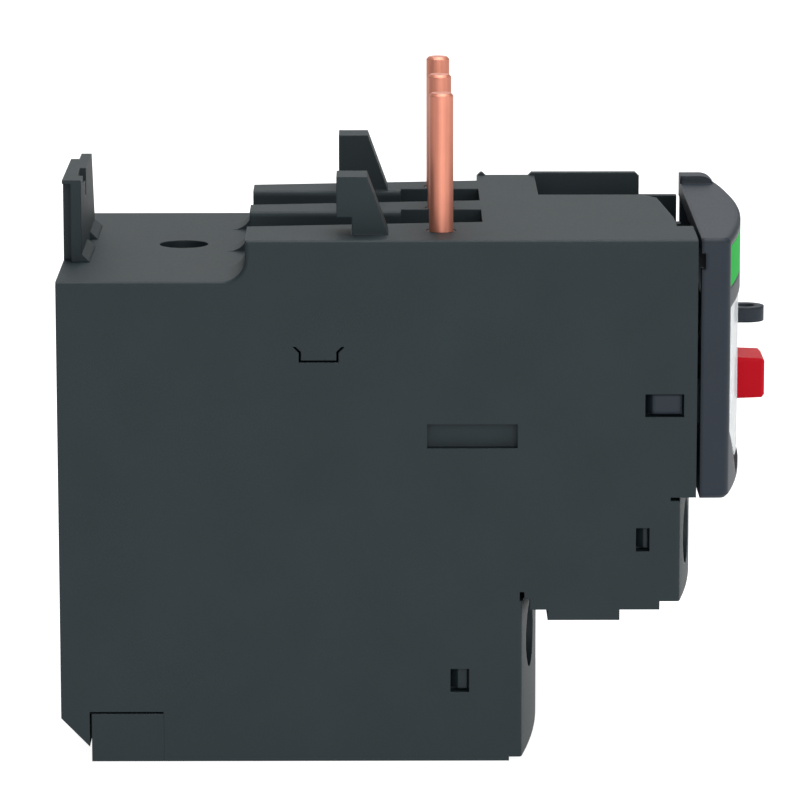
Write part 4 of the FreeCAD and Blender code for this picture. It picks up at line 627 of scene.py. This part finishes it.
def push_springs():
    for name, joint, x, z, radius, front_d, kept in SPRINGS:
        length = front_d - SPRING_BACK_D - 2 * SPRING_WIRE - 2 * SPRING_GAP
        coil = wound_wire(name + "_coil", "plated_steel", SPRING_TURNS, radius, length,
                          SPRING_WIRE, depth_scale=1.0)
        start = Matrix.Translation(at(x, SPRING_BACK_D + SPRING_WIRE + SPRING_GAP, z))
        forward = Matrix.Rotation(math.radians(90), 4, "X")
        coil.transform(start @ forward @ Matrix.Scale(MM, 4))
        spring = piece_of(name + "_coil", coil, "casing", "plated_steel", name)
        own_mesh(spring)


def heater_windings():
    for number, x in enumerate(POLES, 1):
        coil = wound_wire(f"winding_{number}", "heater_wire", turns=13.0, radius=1.31, length=21.6,
                          wire=0.22, depth_scale=2.5)
        foot = Matrix.Translation(at(x, STRIP_D, HEATER_FOOT_Z))
        coil.transform(foot @ Matrix.Scale(MM, 4))
        piece_of(f"heater_winding_{number}", coil, f"strip_{number}", "heater_wire", f"heater_{number}")


push_springs()
heater_windings()

# Camera at the photograph's viewpoint: pixels, millimetres and degrees
PHOTO_WIDTH = 800.0
FOCAL_PIXELS = 4976.98
SENSOR_WIDTH = 36.0
CAMERA_X = -501.065
CAMERA_D = 31.951
CAMERA_Z = 128.247
CAMERA_YAW = -0.198
CAMERA_PITCH = 10.856
CAMERA_ROLL = -0.057


def photo_camera():
    camera = bpy.data.cameras.new("photo_camera")
    camera.sensor_width = SENSOR_WIDTH
    camera.lens = FOCAL_PIXELS / PHOTO_WIDTH * SENSOR_WIDTH
    camera.clip_start = 0.01
    camera.clip_end = 10.0
    holder = bpy.data.objects.new("photo_camera", camera)
    bpy.context.scene.collection.objects.link(holder)
    yaw, pitch, roll = [math.radians(angle) for angle in (CAMERA_YAW, CAMERA_PITCH, CAMERA_ROLL)]
    level = Vector((math.cos(yaw), math.sin(yaw), 0.0))
    side = Vector((math.sin(yaw), -math.cos(yaw), 0.0))
    ahead = level * math.cos(pitch) - Vector((0, 0, 1)) * math.sin(pitch)
    upward = level * math.sin(pitch) + Vector((0, 0, 1)) * math.cos(pitch)
    right = side * math.cos(roll) + upward * math.sin(roll)
    top = upward * math.cos(roll) - side * math.sin(roll)
    turned = Matrix((right, top, -ahead)).transposed().to_4x4()
    holder.matrix_world = Matrix.Translation(at(CAMERA_X, CAMERA_D, CAMERA_Z)) @ turned
    bpy.context.scene.camera = holder


# Floor and lights: metres and watts
FLOOR_REACH = 6.0
FLOOR_Z = -0.0001
FLOOR_GLOW = 2.9
WORLD_GLOW = 0.3
LIGHT_TARGET = Vector((0.0, 0.0, 0.03))


def pale_floor():
    mesh = bpy.data.meshes.new("pale_floor")
    signs = ((-1, -1), (1, -1), (1, 1), (-1, 1))
    corners = [(FLOOR_REACH * x, FLOOR_REACH * y, FLOOR_Z) for x, y in signs]
    mesh.from_pydata(corners, [], [(0, 1, 2, 3)])
    floor = bpy.data.objects.new("pale_floor", mesh)
    bpy.context.scene.collection.objects.link(floor)
    finish = Finish("pale_floor")
    pale = finish.blend(finish.noise(3.0), rgb(156, 156, 156), rgb(150, 150, 150))
    finish.set(Base_Color=pale, Roughness=0.9, Specular_IOR_Level=0.0)
    finish.set(Emission_Color=pale, Emission_Strength=FLOOR_GLOW)
    mesh.materials.append(finish.material)


def soft_light(name, place, size, power):
    lamp = bpy.data.lights.new(name, "AREA")
    lamp.shape = "SQUARE"
    lamp.size = size
    lamp.energy = power
    holder = bpy.data.objects.new(name, lamp)
    bpy.context.scene.collection.objects.link(holder)
    holder.location = place
    direction = LIGHT_TARGET - Vector(place)
    holder.rotation_euler = direction.to_track_quat("-Z", "Y").to_euler()


def studio():
    world = bpy.data.worlds.new("studio")
    bpy.context.scene.world = world
    world.use_nodes = True
    background = world.node_tree.nodes["Background"]
    background.inputs["Color"].default_value = (1.0, 1.0, 1.0, 1.0)
    background.inputs["Strength"].default_value = WORLD_GLOW
    soft_light("top_light", (0.12, -0.05, 0.75), size=0.5, power=6.0)
    soft_light("front_light", (-0.35, -0.7, 0.3), size=0.4, power=2.0)
    soft_light("side_light", (-0.85, -0.1, 0.28), size=0.7, power=5.0)
    soft_light("rear_light", (0.8, 0.1, 0.46), size=0.8, power=1.2)
    bpy.context.scene.view_settings.view_transform = "Standard"


photo_camera()
pale_floor()
studio()
